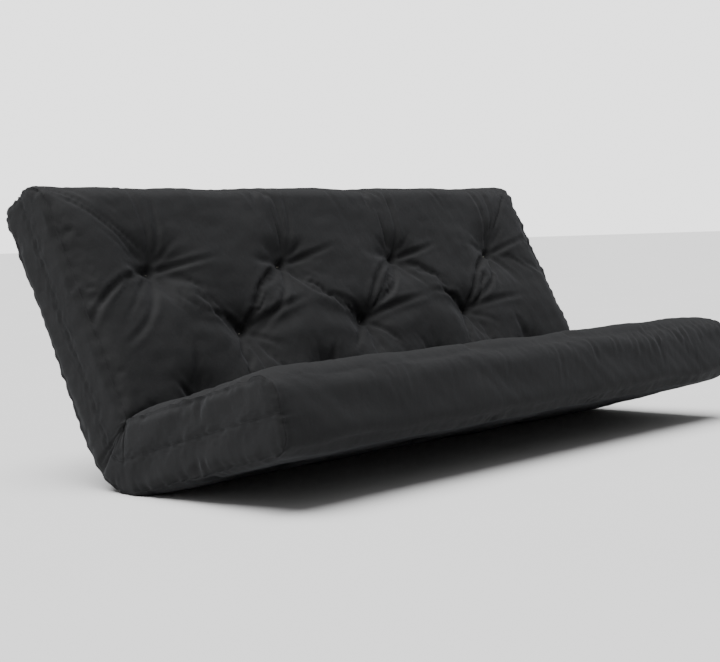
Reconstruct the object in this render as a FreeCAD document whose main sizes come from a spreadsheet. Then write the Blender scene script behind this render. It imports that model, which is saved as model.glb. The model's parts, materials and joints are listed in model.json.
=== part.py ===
"""Tufted futon mattress, folded into its sofa shape.

The mattress is a cloth cover over five layers of filling, pulled together by rows of twine
tufts. It has three sections: the seat, the back, and the strip between them that bends. Seat
and back are drawn lying flat, with the crease at y = 0, and are then turned about the crease
line. The strip that bends is revolved about that same line. X is the width, the front of the
seat is towards -Y, +Z is up, and the cover's underside touches z = 0 below the crease.
"""

import FreeCAD, Part
import math
import os

import Sketcher

SIZES = {
    # the whole mattress
    "mattress_width": 1905.0,
    "section_height": 186.0,
    "seat_length": 532.0,
    "back_length": 664.0,
    "edge_radius": 45.0,
    "roll_lap": 15.0,
    # the sofa shape: the seat rises to the front and the back leans to the rear
    "seat_tilt": 15.0,
    "back_lean": 62.0,
    "crease_gap": 0.6,
    # cover and filling
    "cloth": 2.0,
    "outer_batt": 42.0,
    "foam_sheet": 30.0,
    "edge_wrap": 34.0,
    # tufts
    "side_margin": 247.5,
    "head_margin": 270.0,
    "front_margin": 293.0,
    "back_row_gap": 14.0,
    "seat_row_gap": 50.0,
    "twine_width": 3.0,
    "knot_width": 9.0,
    "needle_clearance": 0.25,
}

X_AXIS = FreeCAD.Vector(1, 0, 0)
SOUND = 1e-6  # smallest volume change, in mm3, that counts as a cut
SAME_PLACE = 0.01  # how near, in mm, two points must lie to be one corner
QUARTER_TURN = 90


class Size:
    """A number together with the expression that gives it from the sheet."""

    def __init__(self, value, text):
        self.value = value
        self.text = text

    def _join(self, other, sign, value):
        text = other.text if isinstance(other, Size) else repr(float(other))
        return Size(value, f"({self.text} {sign} {text})")

    def __add__(self, other):
        return self._join(other, "+", self.value + number(other))

    def __sub__(self, other):
        return self._join(other, "-", self.value - number(other))

    def __mul__(self, other):
        return self._join(other, "*", self.value * number(other))

    def __truediv__(self, other):
        return self._join(other, "/", self.value / number(other))

    def __neg__(self):
        return self * -1.0


def number(size):
    return size.value if isinstance(size, Size) else float(size)


def sine(angle):
    return Size(math.sin(math.radians(angle.value)), f"sin({angle.text} * 1 deg)")


def cosine(angle):
    return Size(math.cos(math.radians(angle.value)), f"cos({angle.text} * 1 deg)")


doc = FreeCAD.newDocument("FutonMattress")
sheet = doc.addObject("Spreadsheet::Sheet", "Sizes")
for row, (alias, amount) in enumerate(SIZES.items(), start=1):
    sheet.set(f"A{row}", alias)
    sheet.set(f"B{row}", str(amount))
    sheet.setAlias(f"B{row}", alias)
doc.recompute()


def size(alias):
    return Size(float(sheet.get(alias)), f"Sizes.{alias}")


ZERO = Size(0.0, "0")
HALF_WIDTH = size("mattress_width") / 2
HEIGHT = size("section_height")
MIDDLE = HEIGHT / 2
RADIUS = size("edge_radius")
CLOTH = size("cloth")
BATT = size("outer_batt")
FOAM = size("foam_sheet")
INNER_HALF = HALF_WIDTH - CLOTH
KNOT_HOLE = size("knot_width") / 2 + size("needle_clearance")
TWINE_HOLE = size("twine_width") / 2 + size("needle_clearance")


class Section:
    """The seat or the back: its length, the way it runs from the crease, and its turn."""

    def __init__(self, name, length, way, turn, tuft_rows):
        self.name = name
        self.length = length
        self.way = way
        self.turn = turn
        self.tuft_rows = tuft_rows


def tuft_places(places_across, from_crease):
    return [(across, from_crease) for across in places_across]


OUTER_TUFT = HALF_WIDTH - size("side_margin")
INNER_TUFT = OUTER_TUFT / 3
BETWEEN_TUFTS = (OUTER_TUFT + INNER_TUFT) / 2
FOUR_ACROSS = [-OUTER_TUFT, -INNER_TUFT, INNER_TUFT, OUTER_TUFT]
THREE_ACROSS = [-BETWEEN_TUFTS, ZERO, BETWEEN_TUFTS]

HEAD_ROW = size("back_length") - size("head_margin")
CREASE_ROW = size("back_row_gap")
FRONT_ROW = size("seat_length") - size("front_margin")
BACK_ROWS = {
    1: tuft_places(FOUR_ACROSS, HEAD_ROW),
    2: tuft_places(THREE_ACROSS, (HEAD_ROW + CREASE_ROW) / 2),
    3: tuft_places(FOUR_ACROSS, CREASE_ROW),
}
SEAT_ROWS = {
    4: tuft_places(THREE_ACROSS, size("seat_row_gap")),
    5: tuft_places(FOUR_ACROSS, FRONT_ROW),
}
SEAT = Section("seat", size("seat_length"), -1.0, -size("seat_tilt"), SEAT_ROWS)
BACK = Section("back", size("back_length"), 1.0, size("back_lean"), BACK_ROWS)


def centring_shift():
    """How far the crease line lies from the middle of the folded mattress, along Y."""
    corner_drop = HEIGHT - RADIUS
    front = (
        (SEAT.length - RADIUS) * cosine(SEAT.turn)
        - corner_drop * sine(SEAT.turn)
        + RADIUS
    )
    rear = (
        (BACK.length - RADIUS) * cosine(BACK.turn)
        + corner_drop * sine(BACK.turn)
        + RADIUS
    )
    return (front - rear) / 2


CREASE_Y = centring_shift()
sub_parts = []


def name_sub_part(part, label, turn, pivot_to_origin):
    """Give a sub-part its label and turn it about the crease line into the sofa shape.

    pivot_to_origin is the crease line's height over the sub-part's own origin.
    """
    part.Label = label
    part.Placement = FreeCAD.Placement(
        FreeCAD.Vector(0, 0, 0), FreeCAD.Rotation(X_AXIS, turn.value)
    )
    part.setExpression("Placement.Rotation.Angle", turn.text)
    part.setExpression("Placement.Base.y", (CREASE_Y + pivot_to_origin * sine(turn)).text)
    part.setExpression("Placement.Base.z", (HEIGHT - pivot_to_origin * cosine(turn)).text)
    sub_parts.append(part)


def origin_plane(body, role):
    return next(f for f in body.Origin.OriginFeatures if f.Role == role)


def attached_sketch(body, role, name, offset=ZERO):
    sketch = body.newObject("Sketcher::SketchObject", name)
    sketch.AttachmentSupport = [(origin_plane(body, role), "")]
    sketch.MapMode = "FlatFace"
    sketch.setExpression("AttachmentOffset.Base.z", offset.text)
    return sketch


def pin_point(sketch, geometry, point, place):
    """Fix one point of a sketch at a place given by two sizes."""
    for kind, distance in zip(("DistanceX", "DistanceY"), place):
        index = sketch.addConstraint(
            Sketcher.Constraint(kind, -1, 1, geometry, point, distance.value)
        )
        sketch.setExpression(f"Constraints[{index}]", distance.text)


def draw_polygon(sketch, corners):
    points = [FreeCAD.Vector(a.value, b.value, 0) for a, b in corners]
    ends = points[1:] + points[:1]
    for start, end in zip(points, ends):
        sketch.addGeometry(Part.LineSegment(start, end), False)
    for line in range(len(points)):
        following = (line + 1) % len(points)
        sketch.addConstraint(Sketcher.Constraint("Coincident", line, 2, following, 1))
        pin_point(sketch, line, 1, corners[line])


def round_edges(body, corners, radius):
    """Fillet the edges along X that pass through the given corners of the side profile."""
    doc.recompute()
    base = body.Tip
    names = []
    for index, edge in enumerate(base.Shape.Edges, start=1):
        ends = [v.Point for v in edge.Vertexes]
        for along, up in corners:
            offsets = [(p.y - along.value, p.z - up.value) for p in ends]
            at_corner = [math.hypot(*offset) < SAME_PLACE for offset in offsets]
            if len(ends) == 2 and all(at_corner):
                names.append(f"Edge{index}")
    fillet = body.newObject("PartDesign::Fillet", "RoundedEdge")
    fillet.Base = (base, names)
    fillet.setExpression("Radius", radius.text)


def cut_holes(body, places, radius, way):
    """Cut one round hole through the body, square to its face, at each tuft."""
    doc.recompute()
    before = body.Shape.Volume
    sketch = attached_sketch(body, "XY_Plane", "TuftHoles")
    for index, (across, along) in enumerate(places):
        centre = (across, along * way)
        point = FreeCAD.Vector(centre[0].value, centre[1].value, 0)
        sketch.addGeometry(
            Part.Circle(point, FreeCAD.Vector(0, 0, 1), radius.value), False
        )
        pin_point(sketch, index, 3, centre)
        round_size = sketch.addConstraint(
            Sketcher.Constraint("Radius", index, radius.value)
        )
        sketch.setExpression(f"Constraints[{round_size}]", radius.text)
    pocket = body.newObject("PartDesign::Pocket", "ThroughFilling")
    pocket.Profile = sketch
    pocket.Type = "ThroughAll"
    pocket.Reversed = True
    doc.recompute()
    if before - body.Shape.Volume < SOUND:
        raise RuntimeError(f"{body.Name}: the tuft holes cut nothing")


def flat_piece(section, label, profile, across, rounded=(), holes=None):
    """One piece of the seat or back: a side profile padded across the mattress.

    profile lists (distance from the crease, height) corners; across is the piece's lowest and
    highest X; rounded lists (corners, radius) pairs; holes is the radius of its tuft holes.
    """
    outline = [(along * section.way, up) for along, up in profile]
    body = doc.addObject("PartDesign::Body", label)
    sketch = attached_sketch(body, "YZ_Plane", "SideProfile", across[0])
    draw_polygon(sketch, outline)
    pad = body.newObject("PartDesign::Pad", "Across")
    pad.Profile = sketch
    pad.setExpression("Length", (across[1] - across[0]).text)
    for corners, radius in rounded:
        round_edges(body, [(along * section.way, up) for along, up in corners], radius)
    if holes is not None:
        places = [place for row in section.tuft_rows.values() for place in row]
        cut_holes(body, places, holes, section.way)
    name_sub_part(body, label, section.turn, HEIGHT)


def rectangle(start, end, low, high):
    return [(start, low), (end, low), (end, high), (start, high)]


def bent_piece(label, near, far, across):
    """One piece of the strip that bends: a ring sector about the crease line.

    near and far are its distances from the crease line.
    """
    body = doc.addObject("PartDesign::Body", label)
    sketch = attached_sketch(body, "XY_Plane", "RingSection")
    draw_polygon(sketch, rectangle(across[0], across[1], near, far))
    ring = body.newObject("PartDesign::Revolution", "Bend")
    ring.Profile = sketch
    ring.ReferenceAxis = (sketch, ["H_Axis"])
    ring.setExpression("Angle", (size("seat_tilt") + size("back_lean")).text)
    name_sub_part(body, label, -size("seat_tilt") - QUARTER_TURN, ZERO)


WHOLE = (-INNER_HALF, INNER_HALF)
SIDES = {"left": (-HALF_WIDTH, -INNER_HALF), "right": (INNER_HALF, HALF_WIDTH)}


def filling_levels():
    """The lowest and highest level of each layer of filling, over the underside."""
    bottom = CLOTH + BATT
    top = HEIGHT - bottom
    return {
        "top_batt": (top, HEIGHT - CLOTH),
        "upper_foam": (top - FOAM, top),
        "middle_batt": (bottom + FOAM, top - FOAM),
        "lower_foam": (bottom, bottom + FOAM),
        "bottom_batt": (CLOTH, bottom),
    }


def build_cover(section, roll_name):
    """The cloth of the seat or back: two faces, the rolled free end and the end strips."""
    end = section.length
    joint = end - RADIUS - size("roll_lap")
    inner_end = end - CLOTH
    under_face = HEIGHT - CLOTH
    name = section.name
    under = "seat_underside_panel" if section is SEAT else "back_rear_panel"
    flat_piece(section, f"{name}_face_panel",
               rectangle(ZERO, joint, under_face, HEIGHT), WHOLE, holes=KNOT_HOLE)
    flat_piece(section, under,
               rectangle(ZERO, joint, ZERO, CLOTH), WHOLE, holes=KNOT_HOLE)
    outer = [(end, ZERO), (end, HEIGHT)]
    inner = [(inner_end, under_face), (inner_end, CLOTH)]
    roll = [(joint, ZERO), *outer, (joint, HEIGHT),
            (joint, under_face), *inner, (joint, CLOTH)]
    flat_piece(section, roll_name, roll, WHOLE,
               rounded=[(outer, RADIUS), (inner, RADIUS - CLOTH)])
    for side, across in SIDES.items():
        flat_piece(section, f"{name}_end_strip_upper_{side}",
                   rectangle(ZERO, end, MIDDLE, HEIGHT), across,
                   rounded=[([(end, HEIGHT)], RADIUS)])
        flat_piece(section, f"{name}_end_strip_lower_{side}",
                   rectangle(ZERO, end, ZERO, MIDDLE), across,
                   rounded=[([(end, ZERO)], RADIUS)])


def build_filling(section):
    """The layers of the seat or back: the outer batts wrap round the free end of the core."""
    core_end = section.length - CLOTH - size("edge_wrap")
    batt_end = section.length - CLOTH
    for layer, (low, high) in filling_levels().items():
        outline = rectangle(ZERO, core_end, low, high)
        rounded = ()
        if layer == "top_batt":
            outline = [(ZERO, low), (core_end, low), (core_end, MIDDLE),
                       (batt_end, MIDDLE), (batt_end, high), (ZERO, high)]
            rounded = [([(batt_end, high)], RADIUS - CLOTH)]
        elif layer == "bottom_batt":
            outline = [(ZERO, low), (batt_end, low), (batt_end, MIDDLE),
                       (core_end, MIDDLE), (core_end, high), (ZERO, high)]
            rounded = [([(batt_end, low)], RADIUS - CLOTH)]
        flat_piece(section, f"{section.name}_{layer}", outline, WHOLE, rounded, TWINE_HOLE)


def build_fold():
    """The strip that bends: the same cloth and layers, curved about the crease line."""
    bent_piece("fold_face_panel", size("crease_gap"), CLOTH, WHOLE)
    bent_piece("fold_underside_panel", HEIGHT - CLOTH, HEIGHT, WHOLE)
    for side, across in SIDES.items():
        bent_piece(f"fold_end_strip_upper_{side}", size("crease_gap"), MIDDLE, across)
        bent_piece(f"fold_end_strip_lower_{side}", MIDDLE, HEIGHT, across)
    for layer, (low, high) in filling_levels().items():
        bent_piece(f"fold_{layer}", HEIGHT - high, HEIGHT - low, WHOLE)


def upright_cylinder(name, place, way, low, high, width):
    post = doc.addObject("Part::Cylinder", name)
    post.setExpression("Radius", (width / 2).text)
    post.setExpression("Height", (high - low).text)
    post.setExpression("Placement.Base.x", place[0].text)
    post.setExpression("Placement.Base.y", (place[1] * way).text)
    post.setExpression("Placement.Base.z", low.text)
    return post


def cross_stitch(name, place, way):
    """The short length of twine that shows on the face, lying along X in its needle hole."""
    stitch = doc.addObject("Part::Cylinder", name)
    length = size("knot_width") - CLOTH
    stitch.Placement = FreeCAD.Placement(
        FreeCAD.Vector(0, 0, 0), FreeCAD.Rotation(FreeCAD.Vector(0, 1, 0), QUARTER_TURN)
    )
    stitch.setExpression("Radius", (CLOTH / 2).text)
    stitch.setExpression("Height", length.text)
    stitch.setExpression("Placement.Base.x", (place[0] - length / 2).text)
    stitch.setExpression("Placement.Base.y", (place[1] * way).text)
    stitch.setExpression("Placement.Base.z", (HEIGHT - CLOTH / 2).text)
    return stitch


def build_tufts(section):
    """Each row has its twines through the filling, face stitches and underside knots."""
    for row_number, places in section.tuft_rows.items():
        twines, stitches, knots = [], [], []
        for index, place in enumerate(places):
            tag = f"{row_number}_{index}"
            twines.append(upright_cylinder(f"Twine_{tag}", place, section.way,
                                           CLOTH, HEIGHT - CLOTH, size("twine_width")))
            knots.append(upright_cylinder(f"Knot_{tag}", place, section.way,
                                          ZERO, CLOTH, size("knot_width")))
            stitches.append(cross_stitch(f"Stitch_{tag}", place, section.way))
        groups = {"twines": twines, "stitches": stitches, "knots": knots}
        for kind, pieces in groups.items():
            label = f"tuft_{kind}_row_{row_number}"
            group = doc.addObject("Part::Compound", label)
            group.Links = pieces
            name_sub_part(group, label, section.turn, HEIGHT)


def check_and_export():
    doc.recompute()
    for item in doc.Objects:
        if "Invalid" in item.State or "Error" in item.State:
            raise RuntimeError(f"{item.Name} failed: {item.State}")
    os.makedirs("parts", exist_ok=True)
    for part in sub_parts:
        shape = part.Shape
        if shape.isNull() or not shape.isValid() or shape.Volume <= 0:
            raise RuntimeError(f"{part.Label} has no sound shape")
    for part in sub_parts:
        part.Shape.exportStep(f"parts/{part.Label}.step")
    print(f"{len(sub_parts)} sub-parts written")


build_cover(SEAT, "front_roll_panel")
build_filling(SEAT)
build_fold()
build_cover(BACK, "head_roll_panel")
build_filling(BACK)
build_tufts(SEAT)
build_tufts(BACK)
check_and_export()
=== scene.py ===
"""Looks of a tufted futon mattress in its sofa shape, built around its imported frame.

The mattress is one cloth cover over five layers of filling, drawn together by rows of twine.
Every soft piece is first laid out flat and then bent round the crease:

    x     across the mattress, left to right
    run   along the middle plane, from the front of the seat to the head of the back
    rise  out of the middle plane, up to the face and down to the underside

All lengths are in metres and all angles in radians unless a name says otherwise.
"""

import json
import logging
import math
from dataclasses import dataclass, field, replace
from enum import Enum
from typing import Any, Iterable, Sequence

import bpy
import numpy as np
from mathutils import Matrix, Vector


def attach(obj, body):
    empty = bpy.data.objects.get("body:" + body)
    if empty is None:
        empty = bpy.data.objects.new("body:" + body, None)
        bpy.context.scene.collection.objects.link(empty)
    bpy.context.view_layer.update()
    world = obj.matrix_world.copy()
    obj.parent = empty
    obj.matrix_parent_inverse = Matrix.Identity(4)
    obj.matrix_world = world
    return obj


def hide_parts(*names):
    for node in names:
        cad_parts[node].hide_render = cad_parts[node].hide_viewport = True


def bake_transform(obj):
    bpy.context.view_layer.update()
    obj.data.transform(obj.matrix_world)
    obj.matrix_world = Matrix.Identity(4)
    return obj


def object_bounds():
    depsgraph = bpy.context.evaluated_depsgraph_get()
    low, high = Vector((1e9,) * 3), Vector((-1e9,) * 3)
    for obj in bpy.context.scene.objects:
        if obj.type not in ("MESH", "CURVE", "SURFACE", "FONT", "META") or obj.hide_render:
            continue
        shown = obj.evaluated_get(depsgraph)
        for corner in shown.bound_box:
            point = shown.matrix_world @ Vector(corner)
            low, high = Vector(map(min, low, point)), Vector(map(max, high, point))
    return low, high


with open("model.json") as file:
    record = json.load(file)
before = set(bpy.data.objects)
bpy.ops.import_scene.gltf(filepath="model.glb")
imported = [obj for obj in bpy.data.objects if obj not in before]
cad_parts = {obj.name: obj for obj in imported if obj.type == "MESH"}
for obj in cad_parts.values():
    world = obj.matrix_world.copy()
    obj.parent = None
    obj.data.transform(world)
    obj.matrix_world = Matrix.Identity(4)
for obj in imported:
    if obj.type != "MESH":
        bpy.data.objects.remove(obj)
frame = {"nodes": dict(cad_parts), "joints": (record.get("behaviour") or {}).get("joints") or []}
CAD_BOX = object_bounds()

LOG = logging.getLogger("futon_mattress")
Array = np.ndarray
TOUCHING = 1e-6
NOTHING = 1e-12
ANY_WAY = (0.31, 0.52, 0.79)
RIGHT = np.array([1.0, 0.0, 0.0])


class Side(Enum):
    """Which skin of the mattress a piece lies on."""

    FACE = 1.0
    REAR = -1.0


class Slot(Enum):
    """The record's material slots."""

    COVER = "cover_twill"
    BATT = "cotton_batt"
    FOAM = "foam"
    TWINE = "tuft_twine"


# ---------------------------------------------------------------------------
# The frame: where the crease, the sections and the tufts are
# ---------------------------------------------------------------------------


def node_points(node: str) -> Array:
    """Gives the corners of a CAD node's mesh.

    Args:
        node: name of the node.

    Returns:
        An array of points, one row each.
    """
    vertices = frame["nodes"][node].data.vertices
    points = np.empty(len(vertices) * 3)
    vertices.foreach_get("co", points)
    return points.reshape(-1, 3)


def reach(node: str, way: Array) -> tuple[float, float]:
    """Measures how far a CAD node reaches along a direction.

    Args:
        node: name of the node.
        way: unit vector.

    Returns:
        The least and the greatest distance along it.
    """
    along = node_points(node) @ way
    return float(along.min()), float(along.max())


def joint_named(name: str) -> dict[str, Any]:
    """Gives one of the frame's joints by its name."""
    return next(joint for joint in frame["joints"] if joint["name"] == name)


def in_profile(angle: float) -> Array:
    """Gives the unit vector in the side view at an angle above +Y."""
    return np.array([0.0, math.cos(angle), math.sin(angle)])


@dataclass(frozen=True)
class Leg:
    """A flat section of the mattress, seat or back.

    Attributes:
        out: unit vector from the crease to the section's far edge.
        up: unit vector out of its face.
        length: from the crease to the far edge.
    """

    out: Array
    up: Array
    length: float


@dataclass(frozen=True)
class BentSlab:
    """The mattress as a slab bent round its crease, with the places of its tufts.

    Attributes:
        crease: the point of the crease line above x = 0.
        seat: the section in front of the crease.
        back: the section above the crease.
        turn: angle that the strip between them turns through.
        half_height: half the thickness of the slab.
        half_width: half the width of the slab.
        tuft_rows: for each row, its places as (x, run).
    """

    crease: Array
    seat: Leg
    back: Leg
    turn: float
    half_height: float
    half_width: float
    tuft_rows: dict[int, list[tuple[float, float]]]

    @classmethod
    def from_frame(cls) -> "BentSlab":
        """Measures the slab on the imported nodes.

        Returns:
            The slab, with its rows of tufts.
        """
        tilt = math.radians(joint_named("seat_bend")["range_deg"][1])
        turn = math.radians(joint_named("back_bend")["range_deg"][1])
        lean = turn - tilt
        seat_out, seat_up = in_profile(math.pi - tilt), in_profile(math.pi / 2 - tilt)
        back_out, back_up = in_profile(lean), in_profile(lean + math.pi / 2)
        face = reach("seat_face_panel", seat_up)[1]
        height = face - reach("seat_underside_panel", seat_up)[0]
        inner = reach("seat_face_panel", seat_out)[0]
        seat = Leg(seat_out, seat_up, reach("front_roll_panel", seat_out)[1] - inner)
        head = reach("head_roll_panel", back_out)[1]
        back = Leg(back_out, back_up, head - reach("back_face_panel", back_out)[0])
        crease = seat_out * inner + seat_up * face
        slab = cls(crease, seat, back, turn, height / 2, CAD_BOX[1].x, {})
        for row in range(1, 6):
            leg = back if row <= 3 else seat
            slab.tuft_rows[row] = slab.places_in_row(row, leg)
        return slab

    def places_in_row(self, row: int, leg: Leg) -> list[tuple[float, float]]:
        """Finds the tufts of one row from its stitches.

        Args:
            row: number of the row, counted from the head.
            leg: the section that the row is on.

        Returns:
            Places as (x, run).
        """
        points = node_points(f"tuft_stitches_row_{row}")
        points = points[np.argsort(points[:, 0])]
        gaps = np.nonzero(np.diff(points[:, 0]) > self.half_height)[0] + 1
        places = []
        for group in np.split(points, gaps):
            middle = (group.min(0) + group.max(0)) / 2
            away = float((middle - self.crease) @ leg.out)
            run = self.seat.length - away if leg is self.seat else self.bend_end + away
            places.append((float(middle[0]), run))
        return places

    @property
    def bend_end(self) -> float:
        """Run at which the bending strip meets the back."""
        return self.seat.length + self.turn * self.half_height

    @property
    def length(self) -> float:
        """Length of the middle plane."""
        return self.bend_end + self.back.length

    @property
    def across_crease(self) -> Array:
        """Unit vector across the crease, from the seat's side to the back's."""
        way = self.back.out - self.seat.out
        return way / np.linalg.norm(way)

    @property
    def into_crease(self) -> Array:
        """Unit vector down into the crease, midway between the two faces."""
        way = -(self.back.out + self.seat.out)
        return way / np.linalg.norm(way)

    def place(self, x: Array, run: Array, rise: Array) -> Array:
        """Bends flat places into the sofa shape.

        Args:
            x: places across.
            run: places along the middle plane.
            rise: places out of the middle plane.

        Returns:
            Points, with a last axis of three.
        """
        run, rise = np.broadcast_arrays(run, rise)
        depth = (rise - self.half_height)[..., None]
        before = (self.seat.length - run)[..., None]
        after = (run - self.bend_end)[..., None]
        on_seat = self.crease + before * self.seat.out + depth * self.seat.up
        on_back = self.crease + after * self.back.out + depth * self.back.up
        angle = ((run - self.seat.length) / self.half_height)[..., None]
        up = self.seat.up * np.cos(angle) + self.seat.out * np.sin(angle)
        in_bend = self.crease + depth * up
        points = np.where(before > 0, on_seat, np.where(after > 0, on_back, in_bend))
        points[..., 0] = x
        return points

    def tufts(self) -> list[tuple[float, float]]:
        """Lists every tuft as (x, run)."""
        return [place for row in self.tuft_rows.values() for place in row]

    def drawn(self, flat: Array, depth: Array, width: float) -> Array:
        """Works out how far the tufts draw each place in.

        Args:
            flat: places as (x, run, rise).
            depth: how deep a tuft draws, at each place.
            width: how far from a tuft the depth falls to about a third.

        Returns:
            The distance drawn in at each place.
        """
        drawn = np.zeros(flat.shape[:-1])
        for x, run in self.tufts():
            away = np.hypot(flat[..., 0] - x, flat[..., 1] - run)
            drawn = np.maximum(drawn, depth * np.exp(-away / width))
        return drawn

    def from_tuft(self, flat: Array) -> Array:
        """Gives the distance from each place to the nearest tuft."""
        away = [np.hypot(flat[..., 0] - x, flat[..., 1] - run) for x, run in self.tufts()]
        return np.min(away, axis=0)

    def from_edge(self, flat: Array) -> Array:
        """Gives the distance from each place to the nearest outer edge of the slab."""
        run = np.minimum(flat[..., 1], self.length - flat[..., 1])
        return np.minimum(run, self.half_width - np.abs(flat[..., 0]))

    def blend(self, piece: bpy.types.Object) -> None:
        """Bakes the placement of a piece into its mesh; the strip round the crease that it would bend
        over is measured but not used.

        Args:
            piece: a finished mesh that crosses the crease.
        """
        reach_of_bend = 1.3 * self.half_height
        pivot = np.array(joint_named("back_bend")["pos_m"])
        start = pivot - reach_of_bend * self.across_crease
        end = pivot + reach_of_bend * self.across_crease
        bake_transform(piece)


# ---------------------------------------------------------------------------
# Shaders
# ---------------------------------------------------------------------------


class Value:
    """A number in a shader, as a socket that takes part in Python arithmetic."""

    def __init__(self, shader: "Shader", socket: bpy.types.NodeSocket) -> None:
        """Wraps a socket of a shader's node."""
        self.shader = shader
        self.socket = socket

    def join(self, operation: str, *others: Any) -> "Value":
        """Adds a Math node.

        Args:
            operation: the Math node's operation.
            others: its other inputs, values or numbers.

        Returns:
            The node's result.
        """
        return self.shader.math(operation, self, *others)

    def __add__(self, other: Any) -> "Value":
        """Adds."""
        return self.join("ADD", other)

    def __sub__(self, other: Any) -> "Value":
        """Takes away."""
        return self.join("SUBTRACT", other)

    def __rsub__(self, other: Any) -> "Value":
        """Takes this from a number."""
        return self.shader.math("SUBTRACT", other, self)

    def __mul__(self, other: Any) -> "Value":
        """Multiplies."""
        return self.join("MULTIPLY", other)

    __radd__ = __add__
    __rmul__ = __mul__

    def sine(self) -> "Value":
        """Gives the sine."""
        return self.join("SINE")


class Shader:
    """A node material while it is being made."""

    def __init__(self, name: str) -> None:
        """Starts an empty material with one Principled shader."""
        self.material = bpy.data.materials.new(name)
        self.material.use_nodes = True
        self.tree = self.material.node_tree
        self.tree.nodes.clear()
        self.surface = self.tree.nodes.new("ShaderNodeBsdfPrincipled")
        output = self.tree.nodes.new("ShaderNodeOutputMaterial")
        self.tree.links.new(self.surface.outputs["BSDF"], output.inputs["Surface"])

    def feed(self, socket: bpy.types.NodeSocket, value: Any) -> None:
        """Sets or links an input.

        Args:
            socket: the input.
            value: a number, a colour, a vector, a socket or a Value.
        """
        if isinstance(value, Value):
            value = value.socket
        if isinstance(value, bpy.types.NodeSocket):
            self.tree.links.new(value, socket)
        else:
            socket.default_value = value

    def node(self, kind: str, settings: dict[str, Any], inputs: dict[Any, Any]) -> Any:
        """Adds a node.

        Args:
            kind: type of the node.
            settings: attributes, set first; "stops" sets a colour ramp.
            inputs: values or links by socket name or number.

        Returns:
            The node.
        """
        made = self.tree.nodes.new(kind)
        for name, value in settings.items():
            if name == "stops":
                self.set_stops(made.color_ramp, value)
            else:
                setattr(made, name, value)
        for key, value in inputs.items():
            self.feed(made.inputs[key], value)
        return made

    @staticmethod
    def set_stops(ramp: bpy.types.ColorRamp, stops: Sequence[tuple[float, Any]]) -> None:
        """Sets a ramp's stops as (position, colour)."""
        while len(ramp.elements) < len(stops):
            ramp.elements.new(1.0)
        for element, (position, colour) in zip(ramp.elements, stops):
            element.position = position
            element.color = (*colour, 1.0)

    def math(self, operation: str, *values: Any) -> Value:
        """Adds a Math node and gives its result."""
        inputs = dict(enumerate(values))
        made = self.node("ShaderNodeMath", {"operation": operation}, inputs)
        return Value(self, made.outputs[0])

    def mix(self, factor: Any, first: Any, second: Any) -> bpy.types.NodeSocket:
        """Mixes two colours.

        Args:
            factor: share of the second colour.
            first: colour or socket.
            second: colour or socket.

        Returns:
            The mixed colour's socket.
        """
        first = first if isinstance(first, bpy.types.NodeSocket) else (*first, 1.0)
        second = second if isinstance(second, bpy.types.NodeSocket) else (*second, 1.0)
        inputs = {0: factor, 6: first, 7: second}
        made = self.node("ShaderNodeMix", {"data_type": "RGBA"}, inputs)
        return made.outputs[2]

    def noise(self, where: Any, scale: float, detail: float) -> Value:
        """Adds a noise texture.

        Args:
            where: socket of the coordinates.
            scale: cells for each metre.
            detail: octaves.

        Returns:
            The noise, about 0.5 on average.
        """
        inputs = {"Vector": where, "Scale": scale, "Detail": detail}
        made = self.node("ShaderNodeTexNoise", {}, inputs)
        return Value(self, made.outputs[0])

    def stretched(self, where: Any, scale: tuple[float, float, float]) -> Any:
        """Scales coordinates by axis and gives their socket."""
        made = self.node("ShaderNodeMapping", {}, {"Vector": where, "Scale": scale})
        return made.outputs[0]

    def cloth_coordinates(self) -> Any:
        """Gives the socket of the piece's own cloth coordinates, in metres."""
        return self.node("ShaderNodeUVMap", {"uv_map": CLOTH_MAP}, {}).outputs[0]

    def object_coordinates(self) -> Any:
        """Gives the socket of the object's coordinates."""
        return self.node("ShaderNodeTexCoord", {}, {}).outputs["Object"]

    def bump(self, height: Value, distance: float, below: Any = None) -> Any:
        """Adds a bump.

        Args:
            height: the height, from 0 to 1.
            distance: what a height of 1 stands for.
            below: another bump's normal to stand on.

        Returns:
            The normal's socket.
        """
        inputs: dict[Any, Any] = {"Height": height, "Distance": distance}
        if below is not None:
            inputs["Normal"] = below
        return self.node("ShaderNodeBump", {}, inputs).outputs[0]

    def finish(self, **inputs: Any) -> bpy.types.Material:
        """Feeds the Principled shader and gives the material.

        Args:
            inputs: its sockets, with underscores for spaces.

        Returns:
            The material.
        """
        for name, value in inputs.items():
            self.feed(self.surface.inputs[name.replace("_", " ")], value)
        return self.material


CLOTH_MAP = "cloth"


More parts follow.
